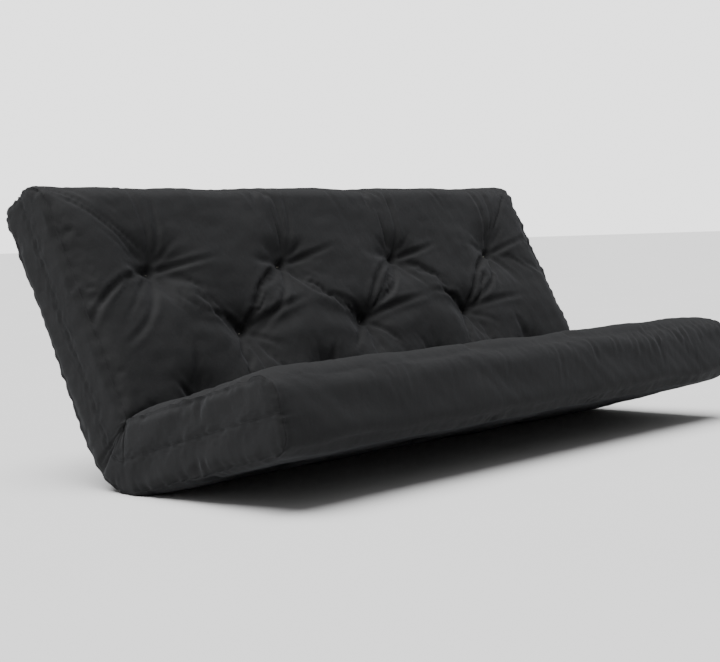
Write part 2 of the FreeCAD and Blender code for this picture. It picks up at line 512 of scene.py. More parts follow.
@dataclass(frozen=True)
class TwillCloth:
    """Near-black cotton twill with a soft, matte nap.

    Attributes:
        shade: colour of the cloth.
        worn: colour where it is rubbed or lint clings to it.
        rib: width of one diagonal rib.
    """

    shade: tuple[float, float, float] = (0.0062, 0.0063, 0.0066)
    worn: tuple[float, float, float] = (0.0120, 0.0121, 0.0124)
    rib: float = 0.0016

    def material(self) -> bpy.types.Material:
        """Makes the material."""
        shader = Shader("cover_twill")
        where = shader.cloth_coordinates()
        split = shader.node("ShaderNodeSeparateXYZ", {}, {0: where})
        x, run = (Value(shader, split.outputs[i]) for i in (0, 1))
        wave = 2 * math.pi / self.rib
        ribs = ((x + run) * wave).sine() * 0.5 + 0.5
        yarns = ((x - run) * (wave * 1.7)).sine() * 0.5 + 0.5
        slubs = shader.noise(shader.stretched(where, (900.0, 120.0, 1.0)), 1.0, 1.0)
        clouds = shader.noise(where, 9.0, 4.0)
        lint = shader.noise(where, 160.0, 2.0)
        tone = clouds * 0.75 + slubs * 0.35 + lint * 0.2 - 0.25
        colour = shader.mix(tone, self.shade, self.worn)
        rough = clouds * 0.12 + slubs * 0.06 + 0.72
        creases = shader.noise(shader.stretched(where, (46.0, 30.0, 1.0)), 1.0, 3.0)
        soft = shader.bump(creases, 0.0016)
        weave = ribs * 0.6 + yarns * 0.25 + slubs * 0.3
        return shader.finish(
            Base_Color=colour,
            Roughness=rough,
            Normal=shader.bump(weave, 0.00012, soft),
            Specular_IOR_Level=0.14,
            Sheen_Weight=0.05,
            Sheen_Roughness=0.55,
            Sheen_Tint=(0.62, 0.64, 0.70, 1.0),
        )


@dataclass(frozen=True)
class CottonFelt:
    """Carded cotton batt: off-white, flecked and fluffy."""

    shade: tuple[float, float, float] = (0.72, 0.69, 0.60)
    fleck: tuple[float, float, float] = (0.50, 0.45, 0.36)

    def material(self) -> bpy.types.Material:
        """Makes the material."""
        shader = Shader("cotton_batt")
        where = shader.cloth_coordinates()
        fluff = shader.noise(where, 55.0, 6.0)
        fibres = shader.noise(shader.stretched(where, (420.0, 90.0, 1.0)), 1.0, 3.0)
        flecks = shader.node(
            "ShaderNodeValToRGB",
            {"stops": [(0.60, (0.0, 0.0, 0.0)), (0.72, (1.0, 1.0, 1.0))]},
            {0: shader.noise(where, 210.0, 2.0)},
        )
        colour = shader.mix(flecks.outputs[0], self.shade, self.fleck)
        low = shader.bump(fluff, 0.004)
        return shader.finish(
            Base_Color=shader.mix(fluff * 0.3, colour, (0.86, 0.84, 0.78)),
            Roughness=fibres * 0.1 + 0.88,
            Normal=shader.bump(fibres, 0.0008, low),
            Specular_IOR_Level=0.1,
            Sheen_Weight=0.3,
        )


@dataclass(frozen=True)
class OpenFoam:
    """Cream polyurethane foam with open cells."""

    shade: tuple[float, float, float] = (0.80, 0.72, 0.50)
    aged: tuple[float, float, float] = (0.70, 0.57, 0.33)

    def material(self) -> bpy.types.Material:
        """Makes the material."""
        shader = Shader("foam")
        where = shader.cloth_coordinates()
        cells = shader.node("ShaderNodeTexVoronoi", {}, {"Vector": where, "Scale": 420.0})
        pores = Value(shader, cells.outputs[0])
        age = shader.noise(where, 4.0, 3.0)
        colour = shader.mix(age, self.shade, self.aged)
        return shader.finish(
            Base_Color=shader.mix(pores * 0.35, colour, (0.92, 0.86, 0.68)),
            Roughness=pores * 0.1 + 0.85,
            Normal=shader.bump(pores, 0.0009),
            Specular_IOR_Level=0.15,
        )


@dataclass(frozen=True)
class WaxedTwine:
    """Off-white twisted cotton twine with a little wax."""

    shade: tuple[float, float, float] = (0.62, 0.59, 0.52)
    groove: tuple[float, float, float] = (0.30, 0.27, 0.21)

    def material(self) -> bpy.types.Material:
        """Makes the material."""
        shader = Shader("tuft_twine")
        where = shader.object_coordinates()
        fibres = shader.noise(shader.stretched(where, (900.0, 900.0, 260.0)), 1.0, 3.0)
        return shader.finish(
            Base_Color=shader.mix(fibres, self.groove, self.shade),
            Roughness=fibres * 0.2 + 0.5,
            Normal=shader.bump(fibres, 0.0003),
            Specular_IOR_Level=0.35,
        )


@dataclass(frozen=True)
class SeamThread:
    """Black sewing thread, a little glossier than the cloth."""

    shade: tuple[float, float, float] = (0.0060, 0.0060, 0.0066)
    light: tuple[float, float, float] = (0.0130, 0.0130, 0.0140)

    def material(self) -> bpy.types.Material:
        """Makes the material."""
        shader = Shader("seam_thread")
        where = shader.object_coordinates()
        twist = shader.noise(where, 1400.0, 2.0)
        return shader.finish(
            Base_Color=shader.mix(twist, self.shade, self.light),
            Roughness=twist * 0.2 + 0.42,
            Normal=shader.bump(twist, 0.0001),
            Specular_IOR_Level=0.2,
        )


@dataclass(frozen=True)
class PaleFloor:
    """The plain floor that the mattress stands on."""

    shade: tuple[float, float, float] = (0.60, 0.60, 0.60)
    cloud: tuple[float, float, float] = (0.57, 0.57, 0.57)

    def material(self) -> bpy.types.Material:
        """Makes the material."""
        shader = Shader("pale_floor")
        clouds = shader.noise(shader.object_coordinates(), 1.5, 2.0)
        return shader.finish(
            Base_Color=shader.mix(clouds, self.shade, self.cloud), Roughness=0.85
        )


_made: dict[str, bpy.types.Material] = {}


def shared(finish: Any) -> bpy.types.Material:
    """Gives the one material of a finish, made when it is first asked for."""
    name = type(finish).__name__
    if name not in _made:
        _made[name] = finish.material()
    return _made[name]


# ---------------------------------------------------------------------------
# Meshes on a lattice
# ---------------------------------------------------------------------------


def smooth_step(value: Array) -> Array:
    """Gives 0 below 0, 1 above 1 and a smooth rise between."""
    held = np.clip(value, 0.0, 1.0)
    return held * held * (3.0 - 2.0 * held)


def halved(grid: Array, axis: int, closed: bool) -> Array:
    """Adds a point midway between neighbours, on a smooth curve through them.

    Args:
        grid: points or numbers on a grid.
        axis: the axis to divide.
        closed: whether the axis runs round and meets itself.

    Returns:
        The finer grid.
    """
    rows = np.moveaxis(grid, axis, 0)
    if closed:
        before, after = np.roll(rows, 1, 0), np.roll(rows, -1, 0)
        beyond = np.roll(rows, -2, 0)
        start = rows
    else:
        start, after = rows[:-1], rows[1:]
        before = np.concatenate([2 * rows[:1] - rows[1:2], rows[:-2]])
        beyond = np.concatenate([rows[2:], 2 * rows[-1:] - rows[-2:-1]])
    middle = (9.0 * (start + after) - before - beyond) / 16.0
    count = len(start) + len(middle) + (0 if closed else 1)
    fine = np.empty((count, *rows.shape[1:]))
    fine[0::2] = rows
    fine[1::2] = middle
    return np.moveaxis(fine, 0, axis)


def vertex_normals(points: Array, quads: Array) -> Array:
    """Gives the unit normal at each vertex.

    Args:
        points: the vertices.
        quads: four vertex numbers for each face.

    Returns:
        One unit vector for each vertex.
    """
    a, b, c, d = (points[quads[:, i]] for i in range(4))
    faces = np.cross(c - a, d - b)
    normals = np.zeros_like(points)
    for corner in range(4):
        np.add.at(normals, quads[:, corner], faces)
    return normals / np.maximum(np.linalg.norm(normals, axis=1, keepdims=True), NOTHING)


@dataclass
class Shell:
    """The closed surface of a box-shaped lattice, kept as one wrap and two ends.

    The wrap goes round the side profile: up the front, along the face, over the head and
    back along the rear. Each end is a grid whose border is the wrap's first or last column.

    Attributes:
        faces_along: number of lattice lines along the run.
        faces_up: number of lattice lines along the rise.
        wrap: numbers on the wrap, as (round, across, values).
        ends: numbers on the two ends, as (run, rise, values).
    """

    faces_along: int
    faces_up: int
    wrap: Array
    ends: list[Array]

    def border(self) -> tuple[Array, Array]:
        """Gives the lattice lines (run, rise) of each place round the wrap."""
        last_run, last_rise = self.faces_along - 1, self.faces_up - 1
        face = [(i, last_rise) for i in range(self.faces_along)]
        head = [(last_run, k) for k in range(last_rise - 1, 0, -1)]
        rear = [(i, 0) for i in range(last_run, -1, -1)]
        front = [(0, k) for k in range(1, last_rise)]
        border = np.array(face + head + rear + front)
        return border[:, 0], border[:, 1]

    def finer(self) -> "Shell":
        """Gives the shell with twice as many lattice lines, on smooth curves."""
        wrap = halved(halved(self.wrap, 0, True), 1, False)
        ends = [halved(halved(end, 0, False), 1, False) for end in self.ends]
        shell = Shell(2 * self.faces_along - 1, 2 * self.faces_up - 1, wrap, ends)
        runs, rises = shell.border()
        for side, end in zip((0, -1), shell.ends):
            end[runs, rises] = wrap[:, side]
        return shell

    def numbering(self) -> tuple[Array, list[Array]]:
        """Numbers the vertices, so that an end shares its border with the wrap.

        Returns:
            The numbers on the wrap and on the two ends.
        """
        count, across = self.wrap.shape[:2]
        wrap = np.arange(count * across).reshape(count, across)
        runs, rises = self.border()
        ends = []
        following = count * across
        for side in (0, -1):
            inside = (self.faces_along - 2) * (self.faces_up - 2)
            numbers = np.zeros((self.faces_along, self.faces_up), int)
            numbers[1:-1, 1:-1] = np.arange(following, following + inside).reshape(
                self.faces_along - 2, self.faces_up - 2
            )
            numbers[runs, rises] = wrap[:, side]
            following += inside
            ends.append(numbers)
        return wrap, ends

    def values(self) -> Array:
        """Gives the numbers as one row for each vertex."""
        wrap, ends = self.numbering()
        total = int(max(wrap.max(), *(end.max() for end in ends))) + 1
        rows = np.empty((total, self.wrap.shape[-1]))
        for numbers, grid in zip((wrap, *ends), (self.wrap, *self.ends)):
            rows[numbers.ravel()] = grid.reshape(-1, grid.shape[-1])
        return rows

    def with_values(self, rows: Array) -> "Shell":
        """Gives a shell of the same lattice whose numbers come from rows."""
        wrap, ends = self.numbering()
        return Shell(self.faces_along, self.faces_up, rows[wrap], [rows[n] for n in ends])

    def quads(self) -> tuple[Array, Array]:
        """Lists the faces, all turned outwards.

        Returns:
            Four vertex numbers for each face, and which face belongs to an end.
        """
        wrap, ends = self.numbering()
        ring = np.concatenate([wrap, wrap[:1]])
        sheets = [cells(ring), cells(ends[0]), cells(ends[1])[:, ::-1]]
        is_end = np.repeat([False, True], [len(sheets[0]), len(sheets[1]) * 2])
        return np.concatenate(sheets), is_end


def cells(numbers: Array) -> Array:
    """Lists the quads of a grid of vertex numbers."""
    corners = (numbers[:-1, :-1], numbers[:-1, 1:], numbers[1:, 1:], numbers[1:, :-1])
    return np.stack([corner.ravel() for corner in corners], axis=1)


def mesh_piece(
    name: str,
    points: Array,
    faces: Sequence[Sequence[int]] | Array,
    material: bpy.types.Material,
    cloth: Array | None = None,
) -> bpy.types.Object:
    """Makes a smooth mesh object.

    Args:
        name: name of the piece.
        points: its vertices.
        faces: vertex numbers of each face.
        material: its material.
        cloth: the cloth coordinates of each face's corners, if it has them.

    Returns:
        The object, in the scene.
    """
    mesh = bpy.data.meshes.new(name)
    listed = faces.tolist() if isinstance(faces, np.ndarray) else faces
    mesh.from_pydata(np.asarray(points).tolist(), [], listed)
    if cloth is not None:
        layer = mesh.uv_layers.new(name=CLOTH_MAP)
        layer.uv.foreach_set("vector", np.asarray(cloth, np.float32).ravel())
    mesh.materials.append(material)
    mesh.shade_smooth()
    mesh.validate()
    piece = bpy.data.objects.new(name, mesh)
    bpy.context.scene.collection.objects.link(piece)
    return piece


@dataclass(frozen=True)
class Ripples:
    """Gentle unevenness made of a few crossing waves, the same at each run.

    Attributes:
        seed: which waves.
        length: typical length of a wave.
        waves: how many waves are added.
    """

    seed: int
    length: float
    waves: int = 9

    def __call__(self, first: Array, second: Array) -> Array:
        """Gives the height at places.

        Args:
            first: places along one way, in metres.
            second: places along the other.

        Returns:
            Heights, mostly between -1 and 1.
        """
        dice = np.random.default_rng(self.seed)
        heights = np.zeros(np.broadcast(first, second).shape)
        for _ in range(self.waves):
            way = dice.uniform(0.0, math.pi)
            wave = 2 * math.pi / (self.length * dice.uniform(0.7, 1.5))
            phase = dice.uniform(0.0, 2 * math.pi)
            along = first * math.cos(way) + second * math.sin(way)
            heights += np.sin(along * wave + phase)
        return heights / math.sqrt(self.waves)


# ---------------------------------------------------------------------------
# Folds in the cloth
# ---------------------------------------------------------------------------


@dataclass(frozen=True)
class Fold:
    """A line that the cloth falls into, with a low ridge along each side.

    Attributes:
        handle: point that bends it, from its start, as (x, way along the cloth).
        end: where it ends, from its start.
        depth: how deep it is.
        width: half its width.
        holds: share of its length after which it fades out.
        fades_in: share of its length over which it deepens.
        start: where it starts on the cloth.
    """

    handle: tuple[float, float]
    end: tuple[float, float]
    depth: float
    width: float
    holds: float = 0.4
    fades_in: float = 0.05
    start: tuple[float, float] = (0.0, 0.0)

    def at(self, place: tuple[float, float], dice: np.random.Generator) -> "Fold":
        """Gives this fold at a place, a little changed by chance."""
        size, turn, strength = dice.uniform(0.88, 1.12), dice.normal(0.0, 0.07), dice.uniform(0.7, 1.2)
        rotation = size * np.array(
            [[math.cos(turn), -math.sin(turn)], [math.sin(turn), math.cos(turn)]]
        )
        handle, end = rotation @ self.handle, rotation @ self.end
        return replace(
            self, handle=tuple(handle), end=tuple(end), depth=self.depth * strength, start=place
        )

    def height(self, cloth: Array) -> Array:
        """Gives the height that the fold adds at places on the cloth.

        Args:
            cloth: places as (x, way along the cloth).

        Returns:
            Heights, mostly negative.
        """
        steps = 28
        part = np.linspace(0.0, 1.0, steps + 1)[:, None]
        bent = 2 * part * (1 - part) * np.array(self.handle) + part**2 * np.array(self.end)
        curve = np.array(self.start) + bent
        ways = np.gradient(curve, axis=0)
        lengths = np.linalg.norm(ways, axis=1)
        ways /= lengths[:, None]
        room = 4 * self.width
        near = ((cloth > curve.min(0) - room) & (cloth < curve.max(0) + room)).all(1)
        away = cloth[near][:, None] - curve
        nearest = np.hypot(away[..., 0], away[..., 1]).argmin(1)
        away = away[np.arange(len(nearest)), nearest]
        way = ways[nearest]
        along = (away * way).sum(1) / lengths[nearest]
        side = (away[:, 0] * way[:, 1] - away[:, 1] * way[:, 0]) / self.width
        done = (nearest + along) / steps
        strength = smooth_step(done / self.fades_in)
        strength *= 1 - smooth_step((done - self.holds) / (1 - self.holds))
        shape = np.exp(-(side**2)) - 0.45 * np.exp(-((np.abs(side) - 1.8) ** 2))
        heights = np.zeros(len(cloth))
        heights[near] = -self.depth * strength * shape
        return heights


TUFT_FOLDS = {
    1: (
        Fold((0.050, 0.130), (0.030, 0.300), 0.0036, 0.0085, 0.6),
        Fold((0.085, 0.120), (0.072, 0.285), 0.0030, 0.0080, 0.6),
        Fold((0.100, 0.010), (0.250, 0.050), 0.0052, 0.0080),
        Fold((0.040, 0.034), (0.115, 0.080), 0.0032, 0.0070),
        Fold((-0.150, -0.030), (-0.222, -0.178), 0.0046, 0.0090, 0.75),
        Fold((-0.050, -0.135), (-0.222, -0.178), 0.0048, 0.0090, 0.75),
        Fold((-0.100, -0.075), (-0.170, -0.140), 0.0024, 0.0070, 0.5),
        Fold((0.030, -0.045), (0.070, -0.115), 0.0034, 0.0090),
        Fold((-0.050, 0.014), (-0.120, 0.018), 0.0034, 0.0100),
    ),
    2: (
        Fold((0.120, 0.028), (0.300, 0.048), 0.0052, 0.0090, 0.55),
        Fold((-0.045, 0.075), (-0.180, 0.055), 0.0044, 0.0090, 0.45),
        Fold((0.120, 0.010), (0.250, 0.035), 0.0050, 0.0260, 0.6),
        Fold((-0.110, 0.010), (-0.240, 0.035), 0.0040, 0.0260, 0.6),
        Fold((0.008, -0.080), (0.030, -0.170), 0.0040, 0.0090),
        Fold((-0.030, -0.045), (-0.095, -0.100), 0.0032, 0.0100),
        Fold((0.050, -0.030), (0.110, -0.085), 0.0030, 0.0090),
        Fold((0.050, 0.060), (0.120, 0.140), 0.0030, 0.0090),
    ),
    3: (
        Fold((0.020, 0.050), (0.050, 0.120), 0.0036, 0.0090),
        Fold((-0.040, 0.040), (-0.100, 0.085), 0.0036, 0.0090),
        Fold((0.060, 0.020), (0.150, 0.035), 0.0036, 0.0090),
    ),
    4: (
        Fold((0.010, -0.060), (0.030, -0.150), 0.0036, 0.0090),
        Fold((0.110, -0.020), (0.240, -0.015), 0.0050, 0.0110),
        Fold((-0.110, -0.020), (-0.240, -0.015), 0.0050, 0.0110),
        Fold((-0.050, -0.050), (-0.120, -0.120), 0.0034, 0.0090),
    ),
    5: (
        Fold((0.030, -0.120), (0.010, -0.300), 0.0036, 0.0090, 0.55),
        Fold((-0.040, -0.120), (-0.045, -0.290), 0.0030, 0.0085, 0.55),
        Fold((0.090, 0.010), (0.220, 0.025), 0.0046, 0.0085),
        Fold((-0.100, -0.015), (-0.230, 0.010), 0.0042, 0.0085),
        Fold((0.050, 0.070), (0.190, 0.150), 0.0040, 0.0090, 0.6),
        Fold((-0.060, 0.080), (-0.190, 0.150), 0.0040, 0.0090, 0.6),
    ),
}


@dataclass
class Folds:
    """Every fold of the cover: from its tufts and over its front and head rolls.

    Attributes:
        slab: the mattress.
        front_folds: number of folds over the front roll.
        head_folds: number of folds over the head roll.
        rear_folds: number of folds round each tuft on the rear.
    """

    slab: BentSlab
    front_folds: int = 44
    head_folds: int = 20
    rear_folds: int = 6

    def on_face(self) -> list[Fold]:
        """Lists the folds of the face and of the two rolls."""
        dice = np.random.default_rng(21)
        folds = []
        for row, places in self.slab.tuft_rows.items():
            folds += [fold.at(place, dice) for place in places for fold in TUFT_FOLDS[row]]
        width = self.slab.half_width
        for _ in range(self.front_folds):
            x = width * (0.96 - 1.8 * dice.uniform() ** 1.6)
            start = (x, dice.uniform(-0.01, 0.06))
            drop, lean = -dice.uniform(0.09, 0.17), dice.normal(0.0, 0.010)
            depth = 0.0026 * (0.35 + 0.65 * float(smooth_step(x / 0.4 + 0.3)))
            depth *= dice.uniform(0.5, 1.2)
            fold = Fold((lean, drop / 2), (2 * lean, drop), depth, 0.0075, 0.5, 0.35, start)
            folds.append(fold)
        for _ in range(self.head_folds):
            start = (width * dice.uniform(-0.95, 0.95), self.slab.length + 0.03)
            drop, lean = -dice.uniform(0.08, 0.17), dice.normal(0.008, 0.012)
            depth = 0.0022 * dice.uniform(0.5, 1.2)
            fold = Fold((0.0, drop / 2), (2 * lean, drop), depth, 0.0080, 0.5, 0.3, start)
            folds.append(fold)
        return folds

    def on_rear(self) -> list[Fold]:
        """Lists the folds of the rear."""
        dice = np.random.default_rng(22)
        folds = []
        for place in self.slab.tufts():
            for angle in np.arange(self.rear_folds) * 2 * math.pi / self.rear_folds:
                turn, far = angle + dice.normal(0.0, 0.25), dice.uniform(0.05, 0.12)
                end = (far * math.cos(turn), far * math.sin(turn))
                handle = (end[0] * 0.5 + dice.normal(0.0, 0.008), end[1] * 0.5)
                folds.append(Fold(handle, end, 0.0024, 0.0085, start=place))
        return folds

    def height(self, flat: Array) -> Array:
        """Gives the height that all the folds add.

        Args:
            flat: places as (x, run, rise).

        Returns:
            Heights, mostly negative.
        """
        x, run, rise = flat.T
        half, length = self.slab.half_height, self.slab.length
        over_front = np.where(run < TOUCHING, rise - half, 0.0)
        over_head = np.where(run > length - TOUCHING, half - rise, 0.0)
        cloth = np.stack([x, run + over_front + over_head], axis=-1)
        inside = np.abs(x) < self.slab.half_width - TOUCHING
        rolled = (over_front != 0.0) | (over_head != 0.0)
        heights = np.zeros(len(x))
        on_face = inside & ((rise > half - TOUCHING) | rolled)
        on_rear = inside & (rise < TOUCHING - half)
        for chosen, folds in ((on_face, self.on_face()), (on_rear, self.on_rear())):
            part, places = heights[chosen], cloth[chosen]
            for fold in folds:
                part += fold.height(places)
            heights[chosen] = part
        return heights


# ---------------------------------------------------------------------------
# The cover
# ---------------------------------------------------------------------------


@dataclass
class SoftSlab:
    """A soft slab between two levels, rounded at its edges and bent round the crease.

    Attributes:
        slab: the mattress.
        low: rise of its rear skin.
        high: rise of its face skin.
        edge_margin: how far it stays inside the mattress's front and head.
        end_margin: how far it stays inside the mattress's ends.
        pitch: spacing of its lattice lines.
        face_radius: rounding of the front and head edges on the face.
        rear_radius: rounding of the front and head edges on the rear.
        end_radius: rounding along the two ends.
        slot: depth of the slit that the face makes at the crease.
        slot_gap: half the width of that slit.
        lip: how widely the face rounds over into the slit.
    """

    slab: BentSlab
    low: float
    high: float
    edge_margin: float = 0.0
    end_margin: float = 0.0
    pitch: float = 0.014
    face_radius: float = 0.064
    rear_radius: float = 0.045
    end_radius: float = 0.016
    slot: float = 0.034
    slot_gap: float = 0.0008
    lip: float = 0.011

    def stations(self) -> tuple[Array, Array, Array]:
        """Spaces the lattice lines.

        Returns:
            Places along the run, the rise and across.
        """
        slab = self.slab
        bend = 2 * slab.half_height * slab.turn
        spans = [
            (self.edge_margin, slab.seat.length, slab.seat.length),
            (slab.seat.length, slab.bend_end, bend),
            (slab.bend_end, slab.length - self.edge_margin, slab.back.length),
        ]
        runs = []
        for start, end, size in spans:
            count = max(2, round(size / self.pitch))
            runs.append(np.linspace(start, end, count, endpoint=False))
        runs.append(np.array([slab.length - self.edge_margin]))
        levels = 2 * max(2, round((self.high - self.low) / self.pitch / 2))
        half = slab.half_width - self.end_margin
        across = np.linspace(-half, half, round(2 * half / self.pitch) + 1)
        return np.concatenate(runs), np.linspace(self.low, self.high, levels + 1), across

    def flat_shell(self) -> Shell:
        """Makes the lattice, with (x, run, rise) at each vertex."""
        runs, rises, across = self.stations()
        shell = Shell(len(runs), len(rises), np.empty((0, 0, 3)), [])
        round_runs, round_rises = shell.border()
        count, wide = len(round_runs), len(across)
        wrap = np.empty((count, wide, 3))
        wrap[..., 0] = across
        wrap[..., 1] = runs[round_runs][:, None]
        wrap[..., 2] = rises[round_rises][:, None]
        grid = np.empty((len(runs), len(rises), 3))
        grid[..., 1], grid[..., 2] = np.meshgrid(runs, rises, indexing="ij")
        for x in (across[0], across[-1]):
            end = grid.copy()
            end[..., 0] = x
            shell.ends.append(end)
        shell.wrap = wrap
        return shell

    def rounded(self, flat: Array) -> Array:
        """Rounds the edges of the flat slab.

        Args:
            flat: places as (x, run, rise).

        Returns:
            The rounded places.
        """
        x, run, rise = np.moveaxis(flat, -1, 0)
        middle = (self.low + self.high) / 2
        radius = np.where(rise > middle, self.face_radius, self.rear_radius)
        start, end = self.edge_margin, self.slab.length - self.edge_margin
        core_run = np.clip(run, start + radius, end - radius)
        core_rise = np.clip(rise, self.low + radius, self.high - radius)
        off = np.stack([run - core_run, rise - core_rise], axis=-1)
        out = np.abs(off).max(-1)
        way = off / np.maximum(np.linalg.norm(off, axis=-1), NOTHING)[..., None]
        depth = radius - out
        half = self.slab.half_width - self.end_margin
        past_end = np.maximum(np.abs(x) - (half - self.end_radius), 0.0)
        past_skin = np.maximum(self.end_radius - depth, 0.0)
        both = np.maximum(np.hypot(past_end, past_skin), NOTHING)
        share = np.maximum(past_end, past_skin) / both
        new_depth = np.where(past_skin > 0, self.end_radius - past_skin * share, depth)
        new_past = past_end * share
        moved = out + depth - new_depth
        rounded = np.empty(flat.shape)
        rounded[..., 0] = np.sign(x) * (np.abs(x) - past_end + new_past)
        rounded[..., 1] = core_run + moved * way[..., 0]
        rounded[..., 2] = core_rise + moved * way[..., 1]
        return rounded

    def face_distance(self, run: Array) -> Array:
        """Gives the distance along the face skin from the bottom of the slit.

        Args:
            run: places along the middle plane.

        Returns:
            Distances, negative on the seat's side.
        """
        slab = self.slab
        bend = slab.bend_end - slab.seat.length
        in_bend = self.slot * (2 * (run - slab.seat.length) / bend - 1)
        before = run - slab.seat.length - self.slot
        after = run - slab.bend_end + self.slot
        on_flat = np.where(run < slab.seat.length, before, after)
        bent = (run >= slab.seat.length) & (run <= slab.bend_end)
        return np.where(bent, in_bend, on_flat)

    def creased(self, flat: Array, points: Array) -> Array:
        """Draws the face down into a narrow slit at the crease.

        Args:
            flat: places as (x, run, rise).
            points: the same places bent round the crease.

        Returns:
            The points with the slit.
        """
        slab = self.slab
        if self.slot == 0.0:
            return points
        along = self.face_distance(flat[..., 1])
        near = np.abs(along) < self.slot + 5 * self.lip
        along = along[near]
        drop = slab.half_height - self.high
        face = slab.crease - drop * (slab.seat.up + slab.back.up) / (
            1 + float(slab.seat.up @ slab.back.up)
        )
        total, weights = np.zeros((len(along), 3)), 0.0
        for step in np.linspace(-2.5, 2.5, 11):
            at = along + step * self.lip
            deep = np.clip(self.slot - np.abs(at), 0.0, None)[:, None]
            seat = np.clip(-at - self.slot, 0.0, None)[:, None]
            back = np.clip(at - self.slot, 0.0, None)[:, None]
            weight = math.exp(-step * step / 2)
            total += weight * (
                deep * slab.into_crease + seat * slab.seat.out + back * slab.back.out
            )
            weights += weight
        profile = face + total / weights
        gap = self.slot_gap * np.clip(along / self.lip, -1.0, 1.0)[:, None]
        profile = profile + gap * slab.across_crease
        top = np.full(int(near.sum()), self.high)
        plain = slab.place(np.zeros(len(top)), flat[..., 1][near], top)
        share = (flat[..., 2][near] - self.low) / (self.high - self.low)
        share = share * smooth_step((self.slot + 5 * self.lip - np.abs(along)) / (2 * self.lip))
        shift = (profile - plain) * share[:, None]
        shift[:, 0] = 0.0
        result = points.copy()
        result[near] += shift
        return result

    def shaped(self, flat: Array) -> Array:
        """Gives the slab's skin in the sofa shape, with no fullness or tufts."""
        rounded = self.rounded(flat)
        points = self.slab.place(rounded[..., 0], rounded[..., 1], rounded[..., 2])
        return self.creased(rounded, points)

    def cloth_corners(self, shell: Shell, quads: Array, is_end: Array) -> Array:
        """Gives cloth coordinates, in metres, for the corners of each face.

        Args:
            shell: the flat shell, with (x, run, rise).
            quads: its faces.
            is_end: which faces belong to an end.

        Returns:
            Two numbers for each corner of each face.
        """
        flat = shell.values()[quads]
        wrapped = np.stack([flat[..., 0], flat[..., 1] + flat[..., 2]], axis=-1)
        ended = np.stack([flat[..., 1], flat[..., 2] + np.sign(flat[..., 0]) * 3], axis=-1)
        return np.where(is_end[:, None, None], ended, wrapped)


CLOTH_SETTINGS = {
    "vertex_group_mass": "held",
    "use_pressure": True,
    "uniform_pressure_force": 4.0,
    "mass": 0.25,
    "quality": 5,
    "tension_stiffness": 25.0,
    "compression_stiffness": 12.0,
    "shear_stiffness": 8.0,
    "bending_stiffness": 0.15,
    "tension_damping": 8.0,
    "compression_damping": 8.0,
    "shear_damping": 8.0,
    "bending_damping": 1.0,
    "air_damping": 4.0,
    "shrink_min": -0.03,
}


